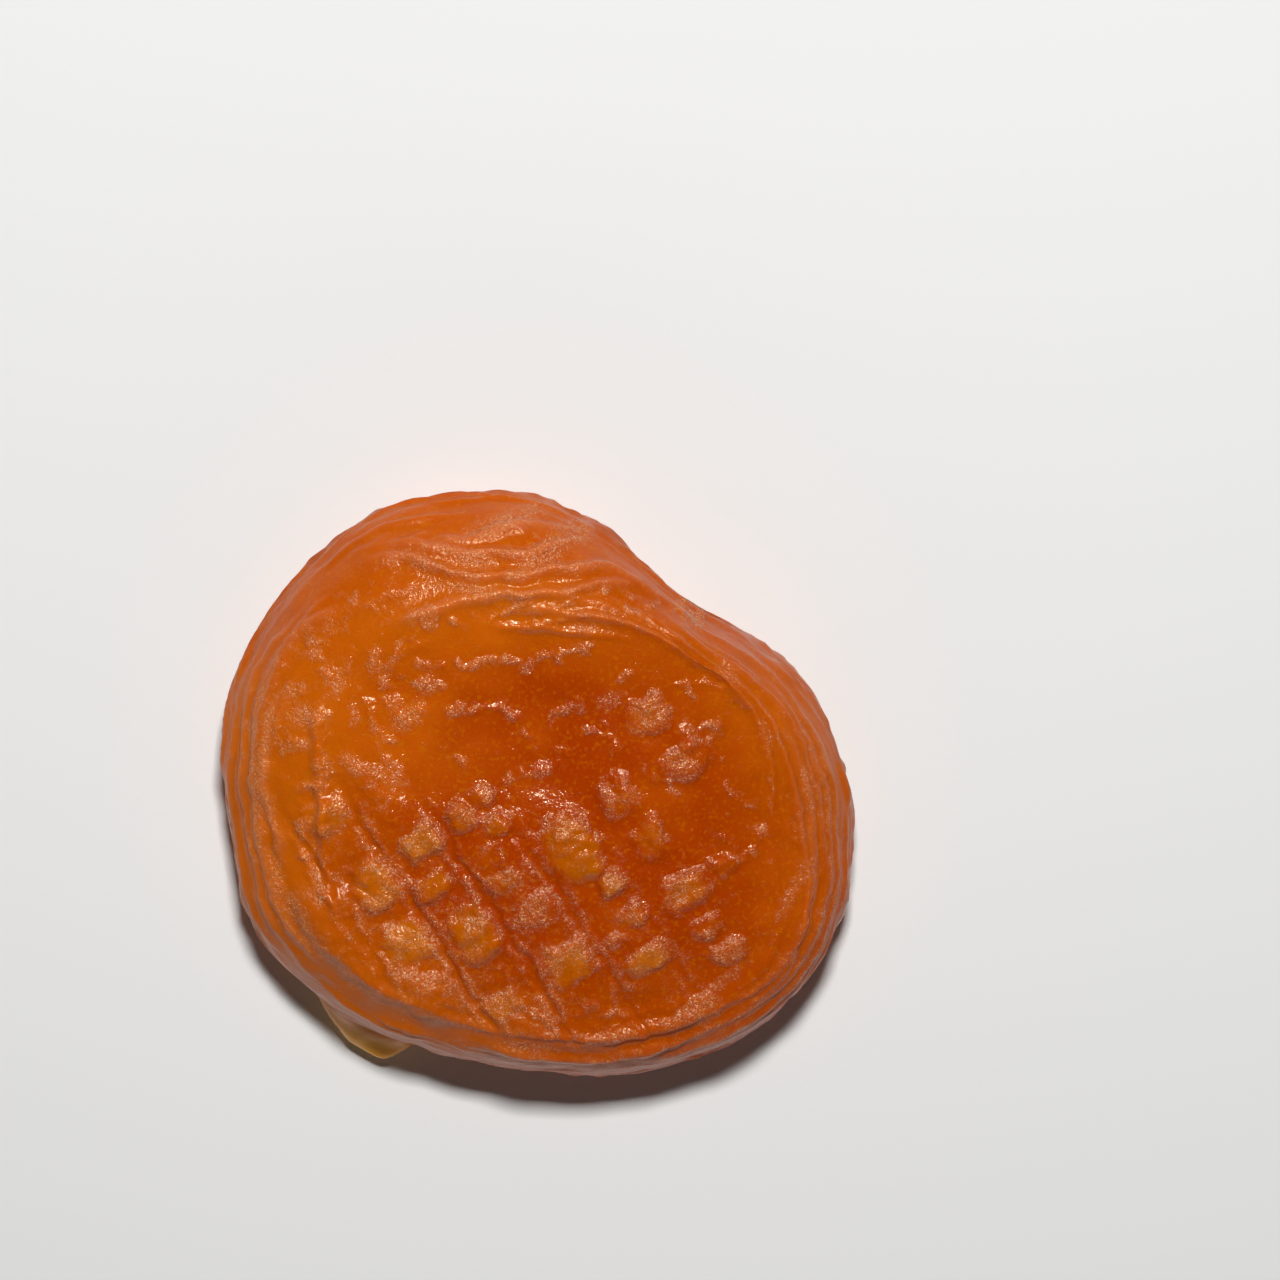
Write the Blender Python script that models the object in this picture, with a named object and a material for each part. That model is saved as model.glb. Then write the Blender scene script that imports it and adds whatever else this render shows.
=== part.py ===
"""A dried apricot half, skin side up, lying on its cut side.

Metres, +Z up. The origin is on the surface it lies on, under the middle of its width and depth.
It is one solid: a plump disc with a nearly flat face, a shoulder that falls to a rounded rim, and
a cut side with the hollow the stone left. The skin carries the print of the drying screen, a
square mesh of grooves round raised pads, and slack folds that run round the shoulder.
"""

import math

import bmesh
import bpy
import numpy as np
from mathutils import Vector, noise

MM = 0.001

# Driving sizes
WIDTH = 46.5 * MM
HEIGHT = 12.6 * MM
HALF_WIDTH = WIDTH / 2
RIM_HEIGHT = 0.40 * HEIGHT

# The outline from above: direction in degrees from +X, and reach as a share of half the width
OUTLINE = (
    (0, 0.983),
    (17, 0.910),
    (33, 0.810),
    (47, 0.748),
    (60, 0.764),
    (76, 0.838),
    (100, 0.948),
    (125, 1.009),
    (150, 1.017),
    (172, 0.991),
    (212, 1.017),
    (243, 0.944),
    (272, 0.935),
    (295, 1.004),
    (318, 1.069),
    (340, 1.039),
)

# Where the face turns into the shoulder: direction in degrees, and share of the outline's reach
FACE_EDGE = (
    (0, 0.78),
    (30, 0.87),
    (52, 0.88),
    (75, 0.73),
    (100, 0.66),
    (125, 0.68),
    (150, 0.76),
    (180, 0.74),
    (210, 0.74),
    (240, 0.76),
    (270, 0.80),
    (300, 0.80),
    (330, 0.84),
)

# The face: it domes a little to its edge, is dished off its middle, and rolls up at the stem end.
# The shoulder below it is a quarter of an oval, a little fuller than an ellipse
DOME = 2.4 * MM
DISH_DEPTH = 0.6 * MM
DISH_PLACE = (-1.0 * MM, 4.0 * MM)
DISH_REACH = 7.0 * MM
ROLL_HEIGHT = 0.7 * MM
ROLL_PLACE = (-1.0 * MM, 17.0 * MM)
ROLL_REACH = (11.0 * MM, 4.0 * MM)
SHOULDER_FULLNESS = 0.96
LUMP_HEIGHT = 0.45 * MM
LUMP_SIZE = 8.0 * MM

# The cut side: the flesh curls under to a foot, then rises into the hollow the stone left
CURL_SHARE = 0.19
HOLLOW_DEPTH = 3.6 * MM
HOLLOW_LENGTH = 27.0 * MM
HOLLOW_WIDTH = 23.0 * MM
HOLLOW_FLOOR = 0.35
HOLLOW_BRIM = 1.25
FOOT_SINK = 0.22 * MM
FOOT_CATCH = 0.02 * MM
STREAK_HEIGHT = 0.55 * MM
STREAKS_TO_A_TURN = 30
STREAK_LENGTH = 12.0 * MM

# The print of the drying screen: a square mesh of strands, one way at this angle to +X. The strays
# here and below are how far a line wanders from its rule: size and height of each wave
SCREEN_ANGLE = math.radians(-59)
PRINT_EDGE = (-0.5 * MM, 3.0 * MM)
PRINT_FADE = (11.0 * MM, 15.0 * MM)
SCREEN_PITCH = 4.75 * MM
SCREEN_PITCH_ACROSS = 4.5 * MM
STRAND_PLACE = -2.2 * MM
STRAND_PLACE_ACROSS = 4.45 * MM
SCREEN_STRAYS = ((9.0 * MM, 0.3 * MM), (2.6 * MM, 0.5 * MM))
PAD_HEIGHT = 0.55 * MM
CREASE_DEPTH = 0.3 * MM
CREASE_WIDTH = 0.38 * MM
# The creases are sharp in the first columns and fade out across the fruit, and towards the stem end
CREASE_FADE = (-6.0 * MM, 8.0 * MM)
CREASE_FADE_UP = (-3.0 * MM, 3.0 * MM)
# The pads of skin that bulged up between the strands: each one's middle, width and length counted in
# strands across and along, then its height as a share of the highest
PADS = (
    (-2.45, 0.55, 0.85, 0.85, 0.80),
    (-2.36, -0.78, 0.85, 1.00, 1.00),
    (-2.43, -1.87, 0.85, 0.90, 0.90),
    (-2.40, -2.75, 0.60, 0.50, 0.45),
    (-1.55, 0.60, 0.60, 0.80, 0.30),
    (-1.37, -0.55, 0.75, 0.65, 1.00),
    (-1.55, -1.25, 0.70, 0.55, 0.80),
    (-1.44, -2.27, 0.85, 1.25, 1.00),
    (-1.60, -3.65, 0.95, 0.60, 0.70),
    (-0.65, -0.52, 0.45, 0.60, 0.80),
    (-0.21, -0.42, 0.50, 0.40, 0.60),
    (-0.22, -0.93, 0.55, 0.55, 0.70),
    (-0.57, -1.27, 0.55, 0.40, 0.45),
    (-0.60, -1.76, 0.65, 0.50, 0.60),
    (-0.49, -2.47, 0.80, 0.70, 0.55),
    (-0.43, -3.50, 0.90, 0.85, 0.80),
    (0.54, -1.90, 0.85, 1.30, 1.00),
    (0.80, -2.72, 0.55, 0.50, 0.90),
    (0.79, -3.34, 0.55, 0.45, 0.60),
    (0.43, -3.60, 0.50, 0.35, 0.40),
    (0.60, -4.17, 0.90, 0.50, 0.80),
    (0.89, -5.40, 0.80, 0.50, 0.40),
    (1.60, -1.50, 0.80, 0.75, 0.50),
    (1.67, -2.40, 0.65, 0.85, 0.60),
    (1.70, -3.48, 0.90, 0.65, 0.80),
    (1.72, -4.20, 0.60, 0.45, 0.55),
    (1.79, -4.73, 0.55, 0.40, 0.60),
    (2.69, -0.62, 0.80, 0.70, 0.55),
    (2.82, -1.62, 0.90, 0.65, 0.55),
    (2.40, -3.44, 0.45, 0.45, 0.50),
)
PAD_SQUARENESS = 2.6
# A pad is flat topped to the first share of its half width, and ends at the second
PAD_BROW = (0.1, 1.35)
# The skin between two sharp creases bulges along its whole length, this share as high
RIBBON_SHARE = 0.35

# The folds that stand out on the shoulder: height and half width in millimetres, then the fold's
# line as directions in degrees and how far down from the face's edge it runs there, in millimetres
MAIN_FOLDS = (
    (0.50, 0.36, ((-12, -1.1), (0, -0.6), (20, -0.1), (40, 0.2), (60, 0.7), (84, 0.5), (100, 0.2))),
    (0.50, 0.38, ((62, 5.2), (69, 4.3), (84, 2.1), (103, 1.1), (120, 1.1), (132, 1.3))),
    (
        0.55,
        0.42,
        (
            (46, 6.0), (55, 5.8), (65, 5.4), (75, 5.0), (86, 3.7),
            (96, 2.7), (110, 3.2), (118, 5.2), (128, 6.2),
        ),
    ),
    (0.52, 0.42, ((77, 7.9), (85, 6.2), (93, 4.3), (100, 4.6), (110, 4.9), (118, 6.4), (126, 7.0))),
    (0.45, 0.42, ((80, 8.6), (88, 7.2), (96, 6.6), (106, 5.7), (116, 5.9))),
    (0.25, 0.35, ((-70, 5.1), (-45, 4.6), (-20, 5.3), (0, 5.7), (20, 5.9), (40, 5.8))),
    (0.22, 0.35, ((-85, 3.7), (-60, 2.8), (-35, 3.1), (-10, 4.4), (10, 4.5), (30, 4.6))),
    (0.24, 0.38, ((-90, 1.5), (-62, 0.6), (-40, 1.1), (-15, 2.2), (5, 2.7), (24, 2.8))),
    (0.35, 0.38, ((148, 7.2), (165, 7.7), (180, 7.9), (200, 7.5), (215, 7.1))),
    (0.40, 0.40, ((140, 5.7), (160, 6.3), (180, 5.9), (205, 5.0), (228, 4.6))),
    (0.45, 0.42, ((132, 3.7), (150, 4.8), (170, 4.7), (190, 4.3), (215, 3.1), (238, 2.6))),
    (0.35, 0.38, ((150, 3.1), (175, 3.4), (200, 2.0))),
    (0.45, 0.45, ((150, 0.4), (168, -0.9), (185, -1.3), (200, -1.0), (216, -0.3))),
    (1.10, 1.20, ((196, 0.9), (215, 0.9), (235, 0.9), (252, 1.4))),
    (0.24, 0.45, ((238, 1.7), (255, 0.9), (275, 0.2), (292, 0.7), (312, 0.3))),
    (0.25, 0.40, ((250, 4.0), (268, 3.0), (285, 3.2), (305, 2.6))),
)
# No fold is narrower than the first; each rises gently on its upper side, this many times wider, and
# dies out over this many degrees at its ends
LEAST_FOLD_WIDTH = 0.55 * MM
FOLD_LEAN = 1.7
FOLD_TAPER = 12.0
FOLD_STRAYS = ((4.5 * MM, 0.5 * MM), (1.8 * MM, 0.28 * MM))
# Finer folds that run round the shoulder between them, in degrees, shares of its width and metres
FINE_FOLD_COUNT = 34
FINE_FOLD_SEED = 33
FINE_FOLD_SPANS = (20, 70)
FINE_FOLD_SHARES = (0.0, 1.45)
FINE_FOLD_HEIGHTS = (0.12 * MM, 0.30 * MM)
FINE_FOLD_WIDTHS = (0.35 * MM, 0.50 * MM)

# The ring where the skin ends and the cut flesh begins, counted from 1 at the rim to 2 mid hollow
SKIN_EDGE = (1.10, 1.20)

# The lip of flesh that shows beyond the skin: from, fullest and to, in degrees
LIP_ANGLES = (213, 241, 250)
LIP_REACH = 3.9 * MM
LIP_HEIGHT = 1.9 * MM
LIP_HALF_THICKNESS = 1.5 * MM

# The mesh: rows across the coarse side of the pillow, and triangles kept in the solid
GRID_ROWS = 84
KEPT_TRIANGLES = 11800

SKIN_COLOUR = (0.50, 0.085, 0.004, 1.0)
SKIN_ROUGHNESS = 0.42


def clear_scene():
    for obj in list(bpy.data.objects):
        bpy.data.objects.remove(obj)


def smoothstep(low, high, value):
    share = np.clip((value - low) / (high - low), 0, 1)
    return share * share * (3 - 2 * share)


def smooth_line(knots, values, at):
    """A smooth curve through the values at the knots."""
    slopes = np.gradient(values, knots)
    i = np.clip(np.searchsorted(knots, at, side="right") - 1, 0, len(knots) - 2)
    span = knots[i + 1] - knots[i]
    u = (at - knots[i]) / span
    return (
        (2 * u**3 - 3 * u**2 + 1) * values[i]
        + (u**3 - 2 * u**2 + u) * span * slopes[i]
        + (3 * u**2 - 2 * u**3) * values[i + 1]
        + (u**3 - u**2) * span * slopes[i + 1]
    )


def around(stations, theta):
    """A smooth closed curve through (degrees, value) stations, read at theta in radians."""
    knots, values = np.radians([a for a, _ in stations]), np.array([v for _, v in stations])
    knots = np.concatenate([knots[-2:] - math.tau, knots, knots[:2] + math.tau])
    values = np.concatenate([values[-2:], values, values[:2]])
    return smooth_line(knots, values, np.mod(theta, math.tau))


def noise_at(x, y, z, size, place=0.0):
    """Perlin noise at points in metres, with features of about this size."""
    return np.array(
        [noise.noise(Vector((a, b, c + place))) for a, b, c in zip(x / size, y / size, z / size)]
    )


def stray_of(x, y, strays, place):
    """How far lines over the fruit stray from their rule, as a sum of (size, height) noises."""
    flat = np.zeros_like(x)
    return sum(height * noise_at(x, y, flat, size, place + size / MM) for size, height in strays)


def pillow(rows):
    """Two square grids joined at their edges. A vertex's z runs from 1, mid top, to -1, mid underside."""
    bm = bmesh.new()
    bmesh.ops.create_grid(bm, x_segments=rows, y_segments=rows, size=1)
    for v in bm.verts:
        v.co.z = 1 - max(abs(v.co.x), abs(v.co.y))
    bmesh.ops.mirror(bm, geom=bm.verts[:] + bm.edges[:] + bm.faces[:], axis="Z", merge_dist=1e-6)
    top = [e for e in bm.edges if all(v.co.z > -1e-6 for v in e.verts)]
    bmesh.ops.subdivide_edges(bm, edges=top, cuts=1, use_grid_fill=True)
    bmesh.ops.recalc_face_normals(bm, faces=bm.faces)
    return bm


def ring_and_angle(co):
    """How far each pillow vertex lies from mid top, 0 to 2, and its direction from +X."""
    x, y = co[:, 0], co[:, 1]
    wide = np.abs(x) >= np.abs(y)
    long_side = np.where(wide, x, y)
    share = np.where(wide, y, x) / np.where(long_side == 0, 1, long_side)
    turn = np.where(wide, share, 2 - share) * math.pi / 4
    return 1 - co[:, 2], np.mod(turn + math.pi * (long_side < 0), math.tau)


def face_height(x, y):
    """Height of the face before anything is printed in it."""
    dome = DOME * (x * x + y * y) / HALF_WIDTH**2
    dish = ((x - DISH_PLACE[0]) ** 2 + (y - DISH_PLACE[1]) ** 2) / DISH_REACH**2
    roll = ((x - ROLL_PLACE[0]) / ROLL_REACH[0]) ** 2 + ((y - ROLL_PLACE[1]) / ROLL_REACH[1]) ** 2
    return HEIGHT - dome - DISH_DEPTH * np.exp(-dish) + ROLL_HEIGHT * np.exp(-roll)


def arc_of(width, height):
    """About the length of a quarter of an ellipse."""
    return math.pi / 2 * np.sqrt((width**2 + height**2) / 2)


def lip_at(theta):
    begin, full, end = np.radians(LIP_ANGLES)
    return smoothstep(begin, full, theta) * (1 - smoothstep(full, end, theta))


def base_shape(ring, theta):
    """The fruit before its folds and print, and the distance of each vertex down from the face's edge."""
    reach = HALF_WIDTH * around(OUTLINE, theta)
    edge = reach * around(FACE_EDGE, theta)
    shoulder = arc_of(reach - edge, HEIGHT - RIM_HEIGHT)
    edge_ring = edge / (edge + shoulder)
    turn = np.clip((ring - edge_ring) / (1 - edge_ring), 0, 1) * math.pi / 2
    out = np.where(
        ring < edge_ring,
        edge * ring / edge_ring,
        edge + (reach - edge) * np.sin(turn) ** SHOULDER_FULLNESS,
    )
    face = face_height(out * np.cos(theta), out * np.sin(theta))
    up = RIM_HEIGHT + (face - RIM_HEIGHT) * np.cos(turn) ** SHOULDER_FULLNESS

    curl = reach * CURL_SHARE
    curl_arc = arc_of(curl, RIM_HEIGHT)
    curl_rings = curl_arc / (curl_arc + reach - curl)
    under = ring > 1
    turn = np.clip((ring - 1) / curl_rings, 0, 1) * math.pi / 2
    within = np.clip((2 - ring) / (1 - curl_rings), 0, 1)
    curled = ring < 1 + curl_rings
    low_out = np.where(curled, reach - curl + curl * np.cos(turn), (reach - curl) * within)
    low_up = RIM_HEIGHT * (1 - np.sin(turn))
    lip = lip_at(theta) * np.exp(-(((low_up - LIP_HEIGHT) / LIP_HALF_THICKNESS) ** 2))
    low_out = low_out + curled * lip * LIP_REACH

    out = np.where(under, low_out, out)
    up = np.where(under, low_up, up)
    x, y = out * np.cos(theta), out * np.sin(theta)
    span = np.hypot(x / (HOLLOW_LENGTH / 2), y / (HOLLOW_WIDTH / 2))
    rise = HOLLOW_DEPTH * (1 - smoothstep(HOLLOW_FLOOR, HOLLOW_BRIM, span))
    up = np.where(under & ~curled, rise - FOOT_SINK, up)
    down = (ring - edge_ring) * (edge + shoulder)
    return np.stack([x, y, up], axis=1), down, shoulder


def screen_print(x, y, face):
    """Height of the pads between the strands, and the creases beside them, where face is 1."""
    stray = stray_of(x, y, SCREEN_STRAYS, 3.1)
    stray_across = stray_of(x, y, SCREEN_STRAYS, 8.7)
    c, s = math.cos(SCREEN_ANGLE), math.sin(SCREEN_ANGLE)
    column = (c * y - s * x + stray - STRAND_PLACE) / SCREEN_PITCH
    row = (-(c * x + s * y) + stray_across - STRAND_PLACE_ACROSS) / SCREEN_PITCH_ACROSS
    pads = np.zeros_like(x)
    for middle, middle_row, wide, long, share in PADS:
        off = np.abs((column - middle) * 2 / wide) ** PAD_SQUARENESS
        off += np.abs((row - middle_row) * 2 / long) ** PAD_SQUARENESS
        pads = np.maximum(pads, share * (1 - smoothstep(*PAD_BROW, off ** (1 / PAD_SQUARENESS))))
    off = np.abs(column - np.round(column)) * SCREEN_PITCH
    sharp = (1 - smoothstep(*CREASE_FADE, c * y - s * x)) * (1 - smoothstep(*CREASE_FADE_UP, y))
    pads = np.maximum(pads, RIBBON_SHARE * sharp * np.abs(np.sin(math.pi * column)))
    crease = sharp * np.exp(-((off / CREASE_WIDTH) ** 2))
    return face * (PAD_HEIGHT * pads - CREASE_DEPTH * crease)


def fold_lines(theta, shoulder):
    """Each fold: how far down from the face's edge it runs at theta, its height there, its half width."""
    degrees = np.degrees(theta)
    for height, width, stations in MAIN_FOLDS:
        knots, downs = np.array(stations, float).T
        at = np.mod(degrees - knots[0], 360)
        span = knots[-1] - knots[0]
        window = smoothstep(0, FOLD_TAPER, at) * (1 - smoothstep(span - FOLD_TAPER, span, at))
        line = smooth_line(knots - knots[0], downs, np.minimum(at, span)) * MM
        yield line, height * MM * window, max(width * MM, LEAST_FOLD_WIDTH)
    draw = np.random.default_rng(FINE_FOLD_SEED)
    for _ in range(FINE_FOLD_COUNT):
        at = np.mod(degrees - draw.uniform(0, 360), 360) / draw.uniform(*FINE_FOLD_SPANS)
        window = smoothstep(0, 0.4, at) * (1 - smoothstep(0.6, 1, at))
        line = draw.uniform(*FINE_FOLD_SHARES) * shoulder
        yield line, draw.uniform(*FINE_FOLD_HEIGHTS) * window, draw.uniform(*FINE_FOLD_WIDTHS)


def fold_relief(theta, down, shoulder, x, y):
    """Height of the folds at vertices this far down from the face's edge."""
    relief = np.zeros_like(theta)
    stray = stray_of(x, y, FOLD_STRAYS, 15.0)
    for line, height, width in fold_lines(theta, shoulder):
        off = (down - line + stray) / width
        relief += height * np.exp(-(np.where(off < 0, off / FOLD_LEAN, off) ** 2))
    return relief


def flesh_relief(x, y, theta):
    """Streaks that run out from the hollow across the cut flesh."""
    reach = np.hypot(x, y)
    turns = STREAKS_TO_A_TURN / math.tau
    streaks = noise_at(turns * np.cos(theta), turns * np.sin(theta), reach / STREAK_LENGTH, 1, 5.5)
    return STREAK_HEIGHT * streaks * smoothstep(0, HOLLOW_WIDTH / 3, reach)


def make_surface(mesh):
    """Moves the pillow's vertices to the fruit's surface."""
    co = np.empty(len(mesh.vertices) * 3, np.float32)
    mesh.vertices.foreach_get("co", co)
    ring, theta = ring_and_angle(co.reshape(-1, 3).astype(float))
    base, down, shoulder = base_shape(ring, theta)
    mesh.vertices.foreach_set("co", base.astype(np.float32).ravel())
    mesh.update()
    normals = np.empty(len(mesh.vertices) * 3, np.float32)
    mesh.vertex_normals.foreach_get("vector", normals)
    x, y, z = base.T
    face = (1 - smoothstep(*PRINT_EDGE, down)) * (1 - smoothstep(*PRINT_FADE, y))
    skin = 1 - smoothstep(*SKIN_EDGE, ring)
    relief = (
        LUMP_HEIGHT * noise_at(x, y, z, LUMP_SIZE)
        + screen_print(x, y, face)
        + skin * fold_relief(theta, down, shoulder, x, y)
        + (1 - skin) * flesh_relief(x, y, theta)
    )
    made = base + normals.reshape(-1, 3) * relief[:, None]
    made[:, 2] = np.maximum(made[:, 2], 0)
    mesh.vertices.foreach_set("co", made.astype(np.float32).ravel())
    mesh.update()


def thin_out(obj):
    """Keeps the triangles that the shape needs, and the foot flat on the surface."""
    mesh = obj.data
    faces = sum(len(p.vertices) - 2 for p in mesh.polygons)
    modifier = obj.modifiers.new("Decimate", "DECIMATE")
    modifier.ratio = KEPT_TRIANGLES / faces
    graph = bpy.context.evaluated_depsgraph_get()
    thinned = bpy.data.meshes.new_from_object(obj.evaluated_get(graph))
    obj.modifiers.remove(modifier)
    obj.data = thinned
    thinned.name = obj.name
    bpy.data.meshes.remove(mesh)


def rest_on_origin(mesh):
    """Flattens the foot at z = 0, and centres the fruit over the origin."""
    co = np.empty(len(mesh.vertices) * 3, np.float32)
    mesh.vertices.foreach_get("co", co)
    co = co.reshape(-1, 3)
    co[:, 2] = np.where(co[:, 2] < FOOT_CATCH, 0, co[:, 2])
    co[:, :2] -= (co[:, :2].min(0) + co[:, :2].max(0)) / 2
    mesh.vertices.foreach_set("co", co.ravel())
    mesh.update()


def skin_material():
    material = bpy.data.materials.new("apricot_skin")
    material.use_nodes = True
    shader = material.node_tree.nodes["Principled BSDF"]
    shader.inputs["Base Color"].default_value = SKIN_COLOUR
    shader.inputs["Roughness"].default_value = SKIN_ROUGHNESS
    shader.inputs["Metallic"].default_value = 0.0
    return material


def make_apricot():
    mesh = bpy.data.meshes.new("dried_apricot")
    bm = pillow(GRID_ROWS)
    bm.to_mesh(mesh)
    bm.free()
    make_surface(mesh)
    obj = bpy.data.objects.new("dried_apricot", mesh)
    bpy.context.scene.collection.objects.link(obj)
    thin_out(obj)
    rest_on_origin(obj.data)
    obj.data.materials.append(skin_material())
    obj.data.shade_smooth()
    return obj


clear_scene()
make_apricot()
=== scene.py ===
"""A soft-dried apricot half on a pale floor.

It lies on its cut side, and its skin shows its folds and the print of the screen it was dried on.
"""

import math

import bmesh
import bpy
import numpy as np
from mathutils import Matrix, Vector, noise


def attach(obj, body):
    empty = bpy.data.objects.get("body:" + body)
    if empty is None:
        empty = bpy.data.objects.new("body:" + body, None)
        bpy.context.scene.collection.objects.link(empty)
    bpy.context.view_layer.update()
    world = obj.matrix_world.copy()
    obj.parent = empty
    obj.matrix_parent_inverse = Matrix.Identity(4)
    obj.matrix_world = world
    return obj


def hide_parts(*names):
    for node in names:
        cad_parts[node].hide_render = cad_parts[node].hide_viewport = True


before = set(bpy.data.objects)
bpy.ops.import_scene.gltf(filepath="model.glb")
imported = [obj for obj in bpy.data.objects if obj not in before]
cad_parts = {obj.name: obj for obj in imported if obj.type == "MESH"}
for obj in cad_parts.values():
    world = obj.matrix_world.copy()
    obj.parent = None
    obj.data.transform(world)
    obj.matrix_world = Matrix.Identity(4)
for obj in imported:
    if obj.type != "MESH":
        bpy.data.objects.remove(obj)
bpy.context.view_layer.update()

bl_info = {
    "name": "Dried Apricot Half",
    "version": (1, 0, 0),
    "blender": (4, 5, 0),
    "location": "3D View > Sidebar > Apricot",
    "description": "Makes a soft-dried apricot half with its folds and screen print, and a pale studio",
    "category": "Add Mesh",
}

MM = 0.001
TOUCH = 1e-6

# The outline from above: direction in degrees from +X, and reach as a share of half the width
OUTLINE = (
    (0, 0.983),
    (17, 0.910),
    (33, 0.810),
    (47, 0.748),
    (60, 0.764),
    (76, 0.838),
    (100, 0.948),
    (125, 1.009),
    (150, 1.017),
    (172, 0.991),
    (212, 1.017),
    (243, 0.944),
    (272, 0.935),
    (295, 1.004),
    (318, 1.069),
    (340, 1.039),
)

# Where the face turns into the shoulder: direction in degrees, and share of the outline's reach
FACE_EDGE = (
    (0, 0.78),
    (30, 0.87),
    (52, 0.88),
    (75, 0.73),
    (100, 0.66),
    (125, 0.68),
    (150, 0.76),
    (180, 0.74),
    (210, 0.74),
    (240, 0.76),
    (270, 0.80),
    (300, 0.80),
    (330, 0.84),
)

# The face domes a little to its edge, is dished off its middle, and rolls up at the stem end
RIM_SHARE = 0.40
DOME = 2.4 * MM
DISH_DEPTH = 0.6 * MM
DISH_PLACE = (-1.0 * MM, 4.0 * MM)
DISH_REACH = 7.0 * MM
ROLL_HEIGHT = 0.7 * MM
ROLL_PLACE = (-1.0 * MM, 17.0 * MM)
ROLL_REACH = (11.0 * MM, 4.0 * MM)
SHOULDER_FULLNESS = 0.96
LUMP_HEIGHT = 0.45 * MM
LUMP_SIZE = 8.0 * MM

# The cut side: the flesh curls under to a foot, then rises into the hollow the stone left
CURL_SHARE = 0.19
HOLLOW_LENGTH = 27.0 * MM
HOLLOW_WIDTH = 23.0 * MM
HOLLOW_FLOOR = 0.35
HOLLOW_BRIM = 1.25
FOOT_SINK = 0.22 * MM
STREAK_HEIGHT = 0.55 * MM
STREAKS_TO_A_TURN = 30
STREAK_LENGTH = 12.0 * MM
FIBRE_HEIGHT = 0.16 * MM
FIBRES_TO_A_TURN = 110
# The streaks and fibres die away within this reach of mid hollow
FIBRE_FADE = HOLLOW_WIDTH / 3

# The print of the drying screen: a square mesh of strands, one way at this angle to +X
SCREEN_ANGLE = math.radians(-59)
PRINT_EDGE = (-0.5 * MM, 3.0 * MM)
PRINT_FADE = (11.0 * MM, 15.0 * MM)
PITCH_ACROSS_SHARE = 4.5 / 4.75
STRAND_PLACE = -2.2 * MM
STRAND_PLACE_ACROSS = 4.45 * MM
SCREEN_STRAYS = ((9.0 * MM, 0.3 * MM), (2.6 * MM, 0.4 * MM), (1.1 * MM, 0.32 * MM))
CREASE_DEPTH = 0.11 * MM
CREASE_WIDTH = 0.28 * MM
CREASE_EDGE = 0.7
# The creases are sharp in the first columns and fade out across the fruit, and towards the stem end
CREASE_FADE = (-6.0 * MM, 8.0 * MM)
CREASE_FADE_UP = (-3.0 * MM, 3.0 * MM)
# The pads of skin that bulged up between the strands: each one's middle, width and length counted in
# strands across and along, then its height as a share of the highest, and how much pale film it carries,
# partly a dry film and partly painted glints
PADS = (
    (-2.45, 0.55, 0.85, 0.85, 0.80, 1.0),
    (-2.36, -0.78, 0.85, 1.00, 1.00, 1.0),
    (-2.43, -1.87, 0.85, 0.90, 0.90, 1.0),
    (-2.40, -2.75, 0.60, 0.50, 0.45, 1.0),
    (-1.55, 0.60, 0.60, 0.80, 0.30, 1.0),
    (-1.37, -0.55, 0.75, 0.65, 1.00, 1.0),
    (-1.55, -1.25, 0.70, 0.55, 0.80, 0.8),
    (-1.44, -2.27, 0.85, 1.25, 1.00, 0.6),
    (-1.60, -3.65, 0.95, 0.60, 0.70, 1.0),
    (-0.65, -0.52, 0.45, 0.60, 0.80, 0.6),
    (-0.21, -0.42, 0.50, 0.40, 0.60, 1.0),
    (-0.22, -0.93, 0.55, 0.55, 0.70, 1.0),
    (-0.57, -1.27, 0.55, 0.40, 0.45, 1.0),
    (-0.60, -1.76, 0.65, 0.50, 0.60, 1.0),
    (-0.49, -2.47, 0.80, 0.70, 0.55, 1.0),
    (-0.43, -3.50, 0.90, 0.85, 0.80, 1.0),
    (0.54, -1.90, 0.85, 1.30, 1.10, 0.2),
    (0.80, -2.72, 0.55, 0.50, 0.90, 0.9),
    (0.79, -3.34, 0.55, 0.45, 0.60, 1.0),
    (0.43, -3.60, 0.50, 0.35, 0.40, 1.0),
    (0.60, -4.17, 0.90, 0.50, 0.80, 0.6),
    (0.89, -5.40, 0.80, 0.50, 0.40, 1.0),
    (1.60, -1.50, 0.80, 0.75, 0.50, 1.0),
    (1.67, -2.40, 0.65, 0.85, 0.60, 1.0),
    (1.70, -3.48, 0.90, 0.65, 0.80, 0.8),
    (1.72, -4.20, 0.60, 0.45, 0.55, 1.0),
    (1.79, -4.73, 0.55, 0.40, 0.60, 1.0),
    (2.69, -0.62, 0.80, 0.70, 0.55, 1.0),
    (2.82, -1.62, 0.90, 0.65, 0.55, 1.0),
    (2.40, -3.44, 0.45, 0.45, 0.50, 0.5),
)
PAD_SQUARENESS = 3.2
# How unevenly the pads bulge
PAD_DENTS = ((1.4 * MM, 0.55), (0.7 * MM, 0.4))
# A pad is flat topped to the first share of its half width, and ends at the second
PAD_BROW = (0.40, 1.20)
# The skin between two sharp creases bulges along its whole length, this share as high
RIBBON_SHARE = 0.35
RIBBON_FILM = 0.25
# The film covers a pad from the first of these shares of its height, fully from the second
FILM_ON_PAD = (0.02, 0.5)

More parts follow.
